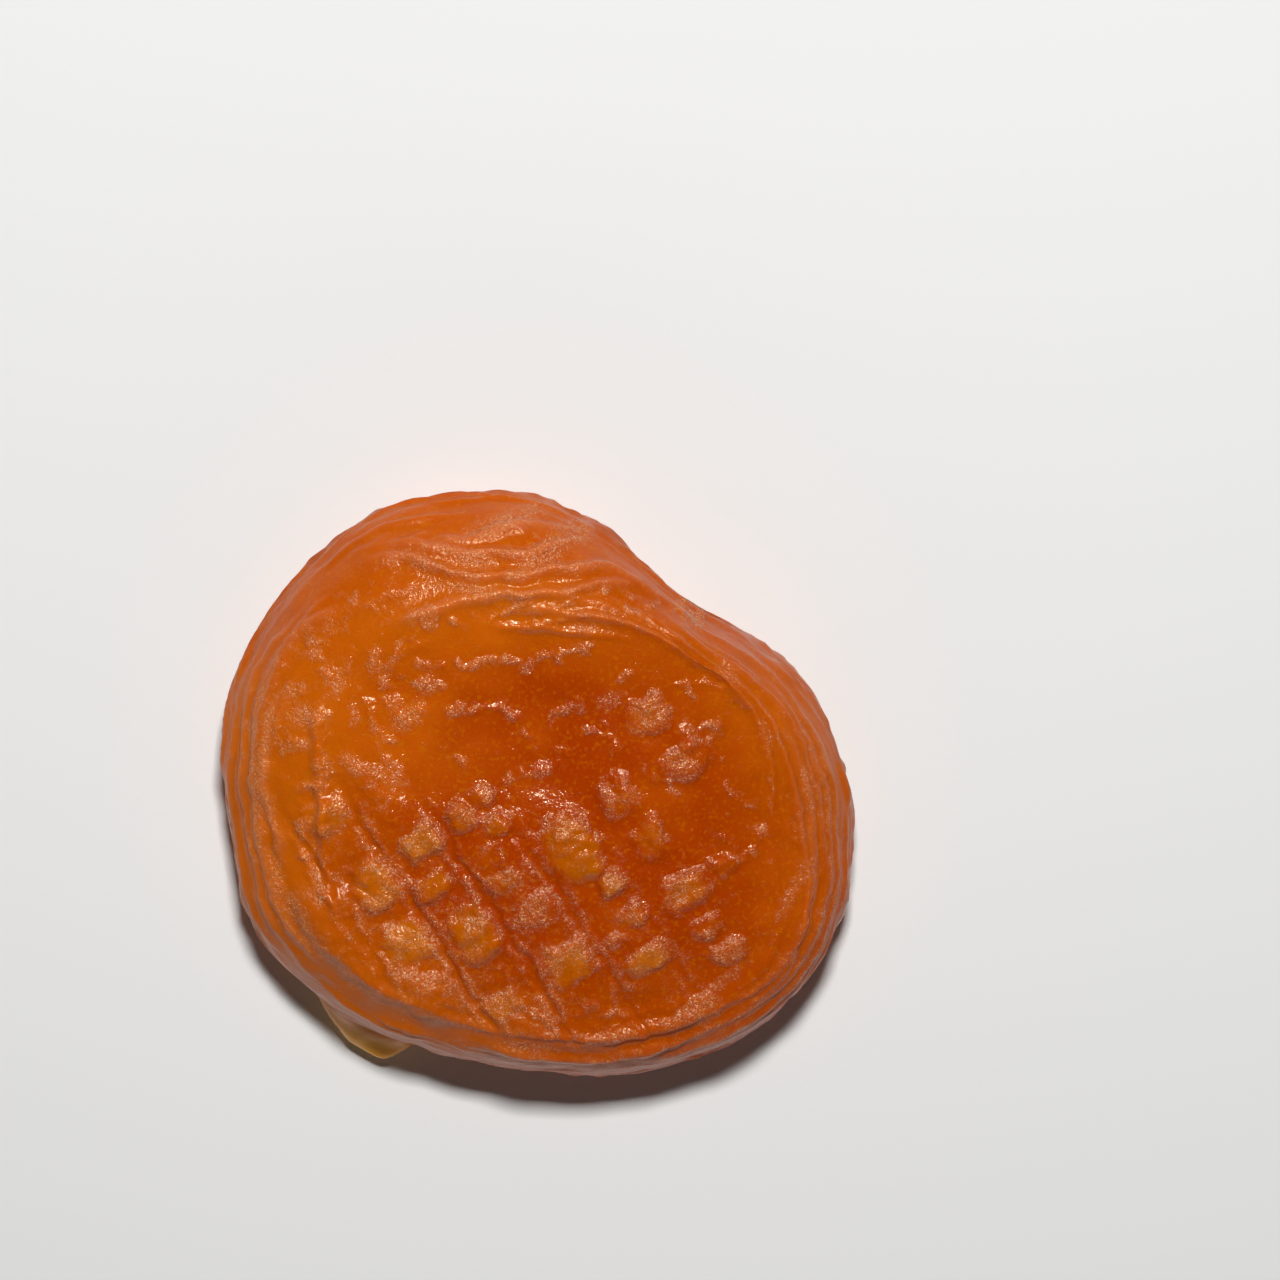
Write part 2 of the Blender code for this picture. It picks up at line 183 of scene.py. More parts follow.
# The folds that stand out on the shoulder: height and half width in millimetres, then the fold's
# line as directions in degrees and how far down from the face's edge it runs there, in millimetres
MAIN_FOLDS = (
    (0.26, 0.28, ((-12, -1.1), (0, -0.6), (20, -0.1), (40, 0.2), (60, 0.7), (84, 0.5), (100, 0.2))),
    (0.40, 0.34, ((62, 5.2), (69, 4.3), (84, 2.1), (103, 1.1), (120, 1.1), (132, 1.3))),
    (
        0.45,
        0.38,
        (
            (46, 6.0), (55, 5.8), (65, 5.4), (75, 5.0), (86, 3.7),
            (96, 2.7), (110, 3.2), (118, 5.2), (128, 6.2),
        ),
    ),
    (0.42, 0.38, ((77, 7.9), (85, 6.2), (93, 4.3), (100, 4.6), (110, 4.9), (118, 6.4), (126, 7.0))),
    (0.36, 0.38, ((80, 8.6), (88, 7.2), (96, 6.6), (106, 5.7), (116, 5.9))),
    (0.25, 0.35, ((-70, 5.1), (-45, 4.6), (-20, 5.3), (0, 5.7), (20, 5.9), (40, 5.8))),
    (0.22, 0.35, ((-85, 3.7), (-60, 2.8), (-35, 3.1), (-10, 4.4), (10, 4.5), (30, 4.6))),
    (0.24, 0.26, ((-38, 1.9), (-15, 1.6), (5, 1.5), (25, 1.3), (44, 1.5), (60, 2.2))),
    (0.20, 0.26, ((-20, 3.6), (0, 3.5), (20, 3.6), (38, 3.0), (56, 3.4))),
    (0.24, 0.38, ((-90, 1.5), (-62, 0.6), (-40, 1.1), (-15, 2.2), (5, 2.7), (24, 2.8))),
    (0.28, 0.38, ((148, 7.2), (165, 7.7), (180, 7.9), (200, 7.5), (215, 7.1))),
    (0.30, 0.40, ((140, 5.7), (160, 6.3), (180, 5.9), (200, 5.2), (216, 4.8))),
    (0.34, 0.42, ((132, 3.7), (150, 4.8), (170, 4.7), (190, 4.3), (208, 3.4), (222, 3.0))),
    (0.30, 0.38, ((150, 3.1), (175, 3.4), (200, 2.0))),
    (0.45, 0.45, ((150, 0.4), (168, -0.9), (185, -1.3), (200, -1.0), (216, -0.3))),
    (0.80, 1.30, ((196, 0.9), (215, 0.9), (235, 0.9), (252, 1.4))),
    (0.24, 0.45, ((238, 1.7), (255, 0.9), (275, 0.2), (292, 0.7), (312, 0.3))),
    (0.25, 0.40, ((250, 4.0), (268, 3.0), (285, 3.2), (305, 2.6))),
)
FOLD_LEAN = 1.7
FOLD_TAPER = 12.0
FOLD_STRAYS = ((4.5 * MM, 0.5 * MM), (1.8 * MM, 0.28 * MM), (0.8 * MM, 0.14 * MM))
# A fold this high and this narrow, or more so, has a full crest
CREST_HEIGHT = 0.3 * MM
CREST_WIDTH = 0.5 * MM
# Fine creases that run round the shoulder between them, in degrees, shares and metres
CREASE_COUNT = 150
CREASE_SEED = 33
CREASE_SPANS = (10, 46)
CREASE_SHARES = (-0.12, 2.0)
CREASE_HEIGHTS = (0.07 * MM, 0.20 * MM)
CREASE_WIDTHS = (0.20 * MM, 0.34 * MM)
# The share of its length over which a fine crease tapers at each end
CREASE_TAPER = 0.4

# Sharp crested wrinkles that run round the flank: height, how many to a turn, and size up the flank
FLANK_WRINKLES = ((0.34 * MM, 11, 1.5 * MM), (0.136 * MM, 33, 0.75 * MM))
FLANK_SHARPNESS = 4
# They begin and end between these rings: 1 is the rim and 2 is mid hollow
FLANK_BEGINS = (0.86, 1.02)
FLANK_ENDS = (1.16, 1.28)

# Small wrinkles in the face's skin: height and half width, then the line's points from the fruit's
# middle, all in millimetres
WRINKLES = (
    (0.16, 0.30, ((-9.5, 11.2), (-7.9, 10.5), (-6.4, 10.5), (-5.1, 10.7))),
    (0.14, 0.28, ((-4.6, 10.4), (-3.7, 10.7), (-1.6, 10.8))),
    (0.16, 0.32, ((-0.9, 10.0), (0.0, 10.9), (0.7, 11.2), (3.9, 11.6))),
    (0.12, 0.45, ((-12.0, 11.3), (-11.9, 9.3))),
    (0.12, 0.40, ((-13.8, 15.6), (-14.2, 14.0), (-13.6, 11.7), (-13.9, 10.2))),
    (0.12, 0.45, ((-7.6, 14.1), (-9.5, 12.5), (-10.6, 11.0), (-11.0, 9.8))),
    (0.10, 0.35, ((-13.2, 8.4), (-11.6, 8.9), (-9.7, 10.0))),
    (0.10, 0.35, ((-12.8, 8.0), (-11.6, 5.4), (-10.5, 4.7))),
    (0.10, 0.40, ((-16.4, 13.0), (-16.5, 11.0), (-15.2, 9.6))),
    (0.12, 0.40, ((-8.7, 8.9), (-7.2, 8.9))),
    (0.14, 0.45, ((-10.9, 7.8), (-9.5, 6.2), (-8.5, 7.0))),
    (0.20, 0.35, ((-6.2, 7.0), (-4.1, 7.1), (-2.8, 7.4), (-1.8, 6.4))),
    (0.14, 0.30, ((0.7, 6.4), (1.8, 7.1), (3.7, 7.1))),
    (0.10, 0.25, ((2.8, 8.0), (3.3, 7.7))),
    (0.14, 0.32, ((3.6, 5.3), (4.8, 5.8), (6.0, 3.7))),
    (0.10, 0.35, ((1.3, 4.1), (2.5, 3.7))),
    (0.22, 0.35, ((-2.2, 1.7), (-1.3, 2.4), (0.2, 2.7), (1.4, 3.0))),
    (0.09, 0.22, ((-5.8, 3.5), (-4.9, 2.4))),
    (0.09, 0.25, ((-10.5, 2.9), (-9.6, 1.4))),
    (0.12, 0.50, ((-13.7, 3.0), (-12.7, 2.0))),
    (0.08, 0.50, ((-11.2, 3.6), (-10.2, 0.6))),
    (0.13, 0.35, ((-4.9, 1.2), (-3.4, 0.4))),
    (0.12, 0.35, ((-5.8, -0.2), (-5.1, -1.5))),
    (0.14, 0.35, ((6.5, 7.7), (8.6, 7.2), (10.9, 5.7))),
    (0.12, 0.35, ((10.7, 5.7), (12.0, 4.8), (13.7, 3.5))),
    (0.10, 0.30, ((5.4, 9.4), (7.4, 9.6))),
    (0.10, 0.30, ((-1.0, 5.3), (0.2, 4.7))),
    (0.12, 0.30, ((8.2, 2.5), (9.6, 1.9), (10.4, 0.4))),
    (0.10, 0.30, ((14.2, 1.3), (15.6, -0.1))),
    (0.10, 0.30, ((13.4, -2.2), (14.6, -3.5))),
    (0.12, 0.32, ((-15.6, 6.5), (-15.9, 4.1), (-15.2, 2.3))),
    (0.16, 0.40, ((-17.5, 6.6), (-16.1, 6.5))),
    (0.12, 0.30, ((-19.1, 5.0), (-18.9, 3.6))),
    (0.12, 0.30, ((-18.3, 5.2), (-18.0, 3.8))),
    (0.12, 0.30, ((-17.6, 4.8), (-17.4, 3.9))),
    (0.14, 0.30, ((-15.6, -1.8), (-15.4, 0.6), (-15.0, 1.3))),
    (0.14, 0.30, ((-17.8, -0.1), (-17.3, 1.4), (-15.9, 1.4), (-15.7, 0.0))),
    (0.20, 0.38, ((-17.7, -2.0), (-16.9, -5.1), (-15.4, -7.2), (-14.2, -8.1))),
    (0.16, 0.60, ((-18.2, -7.5), (-15.7, -9.7), (-14.5, -11.9), (-12.6, -13.5), (-11.5, -14.4))),
    (0.14, 0.32, ((10.8, 4.3), (11.5, 5.2), (12.6, 5.9), (13.2, 5.7))),
    (0.12, 0.35, ((10.6, 9.0), (11.5, 8.1))),
    (0.10, 0.40, ((12.4, 8.7), (14.1, 8.3))),
    (0.08, 0.45, ((14.2, 7.7), (15.2, 6.9))),
    (0.12, 0.40, ((15.3, -3.9), (16.5, -2.1))),
    (
        0.16,
        0.20,
        ((-8.0, 14.6), (-6.0, 13.9), (-3.6, 14.0), (-1.1, 14.8), (1.9, 15.2), (3.9, 15.9), (8.3, 15.4)),
    ),
    (0.14, 0.22, ((-0.1, 13.8), (2.4, 14.0), (4.8, 14.6), (7.8, 14.5), (10.0, 13.8), (11.8, 12.7))),
    (0.16, 0.35, ((3.0, -15.8), (4.1, -15.4), (6.2, -16.1))),
    (0.14, 0.35, ((-1.6, -15.3), (-0.1, -16.0), (1.3, -16.8))),
)
# They stand this share of their height, and stray from their lines
WRINKLE_SHARE = 0.9
WRINKLE_STRAYS = ((1.3 * MM, 0.45 * MM), (0.6 * MM, 0.25 * MM))
# Where the noise of this size is low, the wrinkles break off
WRINKLE_BREAK_SIZE = 0.9 * MM
WRINKLE_BREAKS = (-0.45, 0.15)
# They end this far down from the face's edge
WRINKLE_EDGE = 2.0 * MM
# The pale film on a wrinkle, partly a dry film and partly painted glints, is this much wider, and full on
# one this high in millimetres
WRINKLE_FILM_WIDTH = 1.3
WRINKLE_FILM_HEIGHT = 0.14

# Patches of crumpled pale film on the bare skin, partly a dry film and partly painted glints: how dense,
# the patch's middle, its half length and half width in millimetres, and its turn from +X in degrees
FILM_DENSITY = 0.85
FILM_PATCHES = (
    (1.0, -11.9, 10.7, 0.90, 0.50, 80),
    (1.0, -7.9, 8.8, 0.80, 0.50, 0),
    (1.0, -9.5, 6.5, 1.30, 0.75, 30),
    (0.9, -10.8, 7.5, 0.60, 0.35, 100),
    (0.7, -13.4, 6.5, 1.00, 0.40, 100),
    (1.0, -13.6, 2.9, 1.20, 0.60, -40),
    (0.8, -12.3, 1.5, 0.50, 0.50, 0),
    (0.8, -10.5, 2.6, 1.40, 0.35, -57),
    (0.8, -13.4, 15.0, 0.60, 0.45, 90),
    (0.8, -9.3, 15.8, 0.90, 0.35, 20),
    (1.0, -16.9, 6.5, 1.50, 0.90, 0),
    (0.7, -17.9, 8.3, 1.60, 0.60, 20),
    (0.7, -21.0, 5.2, 0.80, 0.50, 0),
    (0.8, -20.5, 0.7, 3.80, 0.50, 88),
    (0.9, -16.4, 1.2, 1.00, 0.50, 0),
    (0.8, -17.5, 4.3, 1.10, 0.55, 10),
    (1.0, -5.5, -0.6, 0.70, 0.60, 90),
    (0.8, -14.3, -0.6, 1.20, 0.35, 90),
    (0.6, -14.8, 9.0, 1.60, 0.90, 70),
    (0.5, -15.2, 13.0, 1.60, 0.50, 75),
    (1.1, -2.3, 20.3, 3.00, 0.60, 12),
    (1.1, 2.6, 19.5, 1.30, 0.70, 0),
    (1.0, 0.6, 18.4, 2.60, 1.00, 30),
    (1.0, -4.7, 18.1, 1.90, 0.60, 0),
    (1.0, -8.5, 17.8, 1.30, 0.50, -15),
    (0.9, -4.8, 16.0, 2.70, 0.50, -8),
    (1.0, 11.3, 13.8, 1.50, 0.50, -40),
    (0.7, 3.6, 13.2, 1.20, 0.50, 0),
    (0.8, 14.0, 9.6, 1.20, 0.50, -45),
    (0.5, 16.8, 5.0, 1.20, 0.50, -75),
    (0.8, 5.2, 7.8, 1.20, 0.60, 30),
    (0.6, 10.6, 2.4, 0.90, 0.50, 10),
    (0.9, -19.2, -6.0, 3.00, 0.50, -72),
    (0.9, -17.2, -9.4, 3.00, 0.60, -55),
    (0.9, -13.4, -13.6, 2.40, 0.60, -45),
    (0.9, -8.0, -16.4, 2.20, 0.50, -15),
    (0.8, -1.0, -18.6, 2.60, 0.50, -5),
    (0.8, 5.4, -17.8, 2.20, 0.50, 5),
    (0.8, 13.6, -13.6, 2.20, 0.50, 40),
    (0.7, 18.6, -7.0, 2.40, 0.50, 65),
)

# The crumples of the mesh, and how much of them there is on bare skin and under the film
CRUMPLES = ((1.6 * MM, 0.18 * MM), (0.8 * MM, 0.12 * MM), (0.45 * MM, 0.09 * MM))
CRUMPLED_SKIN = 0.08
CRUMPLED_FILM = 0.70
SOFT_WAVES = ((3.2 * MM, 0.20 * MM), (1.4 * MM, 0.06 * MM))

# The pale film, partly a dry film and partly painted glints and sheen: how thick it is on the pads' slopes
# towards the stem end, which face the key light and carry a painted highlight, on the pads themselves, on
# the creases' raised edges, as painted glint lines, on the shoulder and on the crests of its folds, as
# painted highlights
KEY_FACING_SLOPES = (0.08, 0.26)
FROSTED_PADS = (0.03, 0.12)
HIGHLIT_BROW_FILM = 0.6
PAD_FILM = 0.5
EDGE_FILM = 0.6
SHOULDER_FILM = 0.2
CREST_FILM = 0.8
# It is broken up by patches, which leave at least this share of it
FROST_PATCHES = ((2.4 * MM, 1.0), (0.9 * MM, 0.6))
FROST_BREAKS = (-0.25, 0.15)
FROST_LEAST = 0.3
# It thins out low on the shoulder, and where the flesh is thin
LOW_SHOULDER = (3.0 * MM, 8.0 * MM)
LOW_BARE = 0.80
THIN_BARE = 0.45
# It spreads between the pads too below this slanted line
PRESSED_FROST = (-9.0 * MM, 3.0 * MM)
PRESSED_SLANT = -0.1
PRESSED_FILM = 0.1

# The wax on the skin, and how much of it is lost low on the shoulder and where the flesh is thin,
# between these distances down from the face's edge
GLOSS = 0.18
DRY_SHARE = 0.90
DRY_SHOULDER = (1.0 * MM, 7.0 * MM)
DRY_THIN = (-2.0 * MM, 1.0 * MM)

# The ring where the skin ends and the cut flesh begins, counted from 1 at the rim to 2 mid hollow
SKIN_EDGE = (1.10, 1.20)

# The colour brightens towards the stem end and the left, between these distances, partly as painted light
# from the key at the stem end and partly as the flesh's own tone, and in patches
FLESH_AND_LIGHT_BRIGHTEN = (0.0 * MM, 24.0 * MM)
BRIGHT_SLANT = 0.9
FLESH_PATCHES = ((6.0 * MM, 0.5), (2.0 * MM, 0.25))
# The upper shoulder is painted deeper in colour, a painted shade that tones down the key light there, from
# this far down and this far towards the stem end
DEEP_SHOULDER = (0.0 * MM, 5.0 * MM)
DEEP_STEM_END = (4.0 * MM, 14.0 * MM)
DEEP_SHARE = 0.45
# The pads' flesh is amber, more so the higher they are
AMBER_PADS = (0.3, 1.0)
AMBER_LEVEL = 0.7

# Where the shoulder's flesh is thin and yellow: direction in degrees, and how thin it is, 0 to 1
THIN_FLESH = (
    (0, 0.7), (40, 0.8), (80, 0.6), (120, 0.5), (160, 0.7), (200, 1.0), (240, 0.9), (280, 0.5), (320, 0.4)
)
THIN_SHARE = 0.8
THIN_EDGE = (-8.0 * MM, 3.0 * MM)

# The lip of flesh that shows beyond the skin: from, fullest and to, in degrees
LIP_ANGLES = (213, 241, 250)
LIP_REACH = 3.9 * MM
LIP_HEIGHT = 1.9 * MM
LIP_HALF_THICKNESS = 1.5 * MM

# Each pattern reads the noise at a place of its own, so that no two are alike
NOISE_PLACES = {
    "strands": 3.1,
    "cross_strands": 8.7,
    "flesh": 5.5,
    "film_and_glints": 11.0,
    "folds": 15.0,
    "crumples": 21.0,
    "waves": 31.0,
    "colour": 41.0,
    "wrinkles": 51.0,
    "wrinkles_across": 57.0,
    "wrinkle_breaks": 61.0,
    "pad_dents": 71.0,
    "flank": 77.0,
}

# The mesh: rows across the coarse side of the pillow
GRID_ROWS = 140

# The finishes painted on the mesh's vertices for the material, and how strongly some take their colour: the
# creases take a painted shade and the fold crests a painted highlight
PAINTED = ("bright", "film_and_glints", "pad", "crease", "crest", "flesh", "lip", "gloss", "thin")
PAINT_SHARES = {"pad": 0.7, "crease": 0.4, "crest": 0.06, "lip": 1.2}
# What the material adds is too fine for the mesh. Each of its noises is given as the size of its
# features, how many finer layers it has, and how rough they are
SKIN_NOISES = {
    "dots": (0.35 * MM, 1.0, 0.5),
    "ragged": (0.8 * MM, 3.0, 0.65),
    "crackle": (0.7 * MM, 3.0, 0.6),
    "grain": (0.18 * MM, 2.0, 0.8),
    "crumples": (0.25 * MM, 1.0, 0.6),
}
# The amber dots in the flesh: the range in which their noise shows, and their strength
DOT_RANGE = (0.54, 0.74)
DOT_SHARE = 0.35
# How ragged the film's edge is, and the range in which the film closes
RAGGED_SHARE = 1.1
FILM_RANGE = (0.68, 1.34)
# The film's crackle: fine lines where its noise passes each double step, broken up by the grain, and
# painted pale as glints
CRACKLE_STEP = 0.07
CRACKLE_WIDTH = 0.035
GRAIN_RANGE = (0.46, 0.60)
GRAIN_LEAST = 0.1
CRACKLE_SHARE = 0.85
CRACKLE_LEAST = 0.04
# The finest crumples: their depth, how much higher the crackle's lines stand, and their share on bare
# skin
CRUMPLE_DEPTH = 0.15 * MM
CRACKLE_HEIGHT = 0.10
CRUMPLE_LEAST = 0.18
# The mix node's colour inputs, for what lies under and over, and its colour output, by number
MIX_UNDER = 6
MIX_OVER = 7
MIX_RESULT = 2
# Roughness where the wax is lost, and where it is whole
ROUGH_RANGE = (0.32, 0.17)
SKIN_SETTINGS = {
    "Metallic": 0.0,
    "IOR": 1.45,
    "Specular IOR Level": 0.35,
    "Coat Roughness": 0.12,
    "Subsurface Weight": 0.4,
    "Subsurface Radius": (1.0, 0.30, 0.05),
    "Subsurface Scale": 1.5 * MM,
}

# The floor's paper
PAPER_GRAIN = 0.6 * MM
PAPER_LAYERS = 3.0
PAPER_BUMP = 0.02 * MM
PAPER_BUMP_STRENGTH = 0.3
PAPER_ROUGHNESS = 0.9
FLOOR_HALF_WIDTH = 4.0

# The softboxes: where they stand, and how wide and high they are
KEY_PLACE = (0.02, 0.26, 0.46)
KEY_SIZE = (0.07, 0.055)
LOW_PLACE = (0.0, -0.50, 0.14)
LOW_SIZE = (0.80, 0.20)
# The room: the directions between which its pale wall and its dark ceiling begin
WALL_BEGINS = (-0.1, -0.7)
CEILING_BEGINS = (0.35, 0.65)
CEILING_GLOW = 0.02

# The photograph's frame: its width in pixels, and where the fruit's middle and width fall in it
PHOTO_PIXELS = 1280
FRUIT_PIXEL = (538, 790)
FRUIT_PIXELS_WIDE = 627
SENSOR_WIDTH = 36.0


def linear(text):
    """An sRGB hex colour as linear red, green and blue."""
    shares = [int(text[i : i + 2], 16) / 255 for i in (1, 3, 5)]
    return [s / 12.92 if s <= 0.04045 else ((s + 0.055) / 1.055) ** 2.4 for s in shares]


def add_node(tree, kind, settings=None, links=None):
    """Adds a node. Settings name its properties or input sockets, and links give (socket, output) pairs."""
    node = tree.nodes.new(kind)
    for name, value in (settings or {}).items():
        if isinstance(name, str) and hasattr(node, name):
            setattr(node, name, value)
        else:
            node.inputs[name].default_value = value
    for socket, output in (links or {}).items():
        tree.links.new(output, node.inputs[socket])
    return node


def smoothstep(low, high, value):
    """0 below low, 1 above high, and a smooth rise between them."""
    share = np.clip((value - low) / (high - low), 0, 1)
    return share * share * (3 - 2 * share)


def smooth_line(knots, values, at):
    """A smooth curve through the values at the knots."""
    slopes = np.gradient(values, knots)
    i = np.clip(np.searchsorted(knots, at, side="right") - 1, 0, len(knots) - 2)
    span = knots[i + 1] - knots[i]
    u = (at - knots[i]) / span
    return (
        (2 * u**3 - 3 * u**2 + 1) * values[i]
        + (u**3 - 2 * u**2 + u) * span * slopes[i]
        + (3 * u**2 - 2 * u**3) * values[i + 1]
        + (u**3 - u**2) * span * slopes[i + 1]
    )


def around(stations, theta):
    """A smooth closed curve through (degrees, value) stations, read at theta in radians."""
    knots, values = np.radians([a for a, _ in stations]), np.array([v for _, v in stations])
    knots = np.concatenate([knots[-2:] - math.tau, knots, knots[:2] + math.tau])
    values = np.concatenate([values[-2:], values, values[:2]])
    return smooth_line(knots, values, np.mod(theta, math.tau))


def noise_at(x, y, z, size, place=0.0):
    """Smooth noise at points in metres, with features of about this size."""
    return np.array(
        [noise.noise(Vector((a, b, c + place))) for a, b, c in zip(x / size, y / size, z / size)]
    )


def stray_of(x, y, strays, place):
    """A sum of (size, height) noises over the fruit: how far lines and heights stray from their rule."""
    flat = np.zeros_like(x)
    return sum(height * noise_at(x, y, flat, size, place + size / MM) for size, height in strays)


def pillow(rows):
    """Two square grids joined at their edges. A vertex's z runs from 1, mid top, to -1, mid underside."""
    bm = bmesh.new()
    bmesh.ops.create_grid(bm, x_segments=rows, y_segments=rows, size=1)
    for v in bm.verts:
        v.co.z = 1 - max(abs(v.co.x), abs(v.co.y))
    bmesh.ops.mirror(bm, geom=bm.verts[:] + bm.edges[:] + bm.faces[:], axis="Z", merge_dist=TOUCH)
    top = [e for e in bm.edges if all(v.co.z > -TOUCH for v in e.verts)]
    bmesh.ops.subdivide_edges(bm, edges=top, cuts=1, use_grid_fill=True)
    # A corner where only two faces meet could close to a flap without thickness
    bmesh.ops.dissolve_verts(bm, verts=[v for v in bm.verts if len(v.link_edges) == 2])
    bmesh.ops.recalc_face_normals(bm, faces=bm.faces)
    return bm


def ring_and_angle(co):
    """How far each pillow vertex lies from mid top, 0 to 2, and its direction from +X."""
    x, y = co[:, 0], co[:, 1]
    wide = np.abs(x) >= np.abs(y)
    long_side = np.where(wide, x, y)
    share = np.where(wide, y, x) / np.where(long_side == 0, 1, long_side)
    turn = np.where(wide, share, 2 - share) * math.pi / 4
    return 1 - co[:, 2], np.mod(turn + math.pi * (long_side < 0), math.tau)


def arc_of(width, height):
    """About the length of a quarter of an ellipse."""
    return math.pi / 2 * np.sqrt((width**2 + height**2) / 2)


def face_height(x, y, sizes):
    """Height of the face before anything is printed in it."""
    dome = DOME * (x * x + y * y) / (sizes.width / 2) ** 2
    dish = ((x - DISH_PLACE[0]) ** 2 + (y - DISH_PLACE[1]) ** 2) / DISH_REACH**2
    roll = ((x - ROLL_PLACE[0]) / ROLL_REACH[0]) ** 2 + ((y - ROLL_PLACE[1]) / ROLL_REACH[1]) ** 2
    return sizes.height - dome - DISH_DEPTH * np.exp(-dish) + ROLL_HEIGHT * np.exp(-roll)


def lip_at(theta):
    """How much of the lip there is at theta, 0 to 1."""
    begin, full, end = np.radians(LIP_ANGLES)
    return smoothstep(begin, full, theta) * (1 - smoothstep(full, end, theta))


def base_shape(ring, theta, sizes):
    """The fruit before its folds and print: its vertices, how far each one is down from the face's
    edge, the shoulder's width there, and how much it is part of the lip."""
    reach = sizes.width / 2 * around(OUTLINE, theta)
    edge = reach * around(FACE_EDGE, theta)
    rim_height = RIM_SHARE * sizes.height
    shoulder = arc_of(reach - edge, sizes.height - rim_height)
    edge_ring = edge / (edge + shoulder)
    turn = np.clip((ring - edge_ring) / (1 - edge_ring), 0, 1) * math.pi / 2
    out = np.where(
        ring < edge_ring,
        edge * ring / edge_ring,
        edge + (reach - edge) * np.sin(turn) ** SHOULDER_FULLNESS,
    )
    face = face_height(out * np.cos(theta), out * np.sin(theta), sizes)
    up = rim_height + (face - rim_height) * np.cos(turn) ** SHOULDER_FULLNESS

    curl = reach * CURL_SHARE
    curl_arc = arc_of(curl, rim_height)
    curl_rings = curl_arc / (curl_arc + reach - curl)
    under = ring > 1
    turn = np.clip((ring - 1) / curl_rings, 0, 1) * math.pi / 2
    within = np.clip((2 - ring) / (1 - curl_rings), 0, 1)
    curled = ring < 1 + curl_rings
    low_out = np.where(curled, reach - curl + curl * np.cos(turn), (reach - curl) * within)
    low_up = rim_height * (1 - np.sin(turn))
    lip = under * curled * lip_at(theta) * np.exp(-(((low_up - LIP_HEIGHT) / LIP_HALF_THICKNESS) ** 2))
    low_out = low_out + lip * LIP_REACH

    out = np.where(under, low_out, out)
    up = np.where(under, low_up, up)
    x, y = out * np.cos(theta), out * np.sin(theta)
    span = np.hypot(x / (HOLLOW_LENGTH / 2), y / (HOLLOW_WIDTH / 2))
    rise = sizes.hollow_depth * (1 - smoothstep(HOLLOW_FLOOR, HOLLOW_BRIM, span))
    up = np.where(under & ~curled, rise - FOOT_SINK, up)
    down = (ring - edge_ring) * (edge + shoulder)
    return np.stack([x, y, up], axis=1), down, shoulder, lip


def screen_print(x, y, sizes):
    """How high the pads stand, how much film lies on them, the creases, and the creases' raised edges."""
    stray = stray_of(x, y, SCREEN_STRAYS, NOISE_PLACES["strands"])
    stray_across = stray_of(x, y, SCREEN_STRAYS, NOISE_PLACES["cross_strands"])
    c, s = math.cos(SCREEN_ANGLE), math.sin(SCREEN_ANGLE)
    pitch = sizes.screen_pitch
    column = (c * y - s * x + stray - STRAND_PLACE) / pitch
    row = (-(c * x + s * y) + stray_across - STRAND_PLACE_ACROSS) / (pitch * PITCH_ACROSS_SHARE)
    pads = np.zeros_like(x)
    films = np.zeros_like(x)
    for middle, middle_row, wide, long, share, film in PADS:
        off = np.abs((column - middle) * 2 / wide) ** PAD_SQUARENESS
        off += np.abs((row - middle_row) * 2 / long) ** PAD_SQUARENESS
        pad = 1 - smoothstep(*PAD_BROW, off ** (1 / PAD_SQUARENESS))
        pads = np.maximum(pads, share * pad)
        films = np.maximum(films, film * smoothstep(*FILM_ON_PAD, pad))
    off = np.abs(column - np.round(column)) * pitch
    sharp = (1 - smoothstep(*CREASE_FADE, c * y - s * x)) * (1 - smoothstep(*CREASE_FADE_UP, y))
    ribbon = sharp * np.abs(np.sin(math.pi * column))
    pads = np.maximum(pads, RIBBON_SHARE * ribbon)
    films = np.maximum(films, RIBBON_FILM * ribbon)
    crease = np.exp(-((off / CREASE_WIDTH) ** 2))
    edge = CREASE_EDGE * np.exp(-(((off - 2 * CREASE_WIDTH) / CREASE_WIDTH) ** 2))
    return pads, films, sharp * (crease - edge), sharp * edge / CREASE_EDGE


def fold_lines(theta, shoulder):
    """Each fold's line down from the face's edge at theta, its height there, and its half width."""
    degrees = np.degrees(theta)
    for height, width, stations in MAIN_FOLDS:
        knots, downs = np.array(stations, float).T
        at = np.mod(degrees - knots[0], 360)
        span = knots[-1] - knots[0]
        window = smoothstep(0, FOLD_TAPER, at) * (1 - smoothstep(span - FOLD_TAPER, span, at))
        line = smooth_line(knots - knots[0], downs, np.minimum(at, span)) * MM
        yield line, height * MM * window, width * MM
    draw = np.random.default_rng(CREASE_SEED)
    for _ in range(CREASE_COUNT):
        at = np.mod(degrees - draw.uniform(0, 360), 360) / draw.uniform(*CREASE_SPANS)
        window = smoothstep(0, CREASE_TAPER, at) * (1 - smoothstep(1 - CREASE_TAPER, 1, at))
        line = draw.uniform(*CREASE_SHARES) * shoulder
        yield line, draw.uniform(*CREASE_HEIGHTS) * window, draw.uniform(*CREASE_WIDTHS)


def fold_relief(theta, down, shoulder, x, y):
    """Height of the folds, and how near each vertex is to a crest, 0 to 1."""
    relief = np.zeros_like(theta)
    crest = np.zeros_like(theta)
    stray = stray_of(x, y, FOLD_STRAYS, NOISE_PLACES["folds"])
    for line, height, width in fold_lines(theta, shoulder):
        off = (down - line + stray) / width
        ridge = np.exp(-(np.where(off < 0, off / FOLD_LEAN, off) ** 2))
        relief += height * ridge
        share = np.minimum(height / CREST_HEIGHT, 1) * min(CREST_WIDTH / width, 1)
        crest = np.maximum(crest, ridge * share)
    return relief, crest


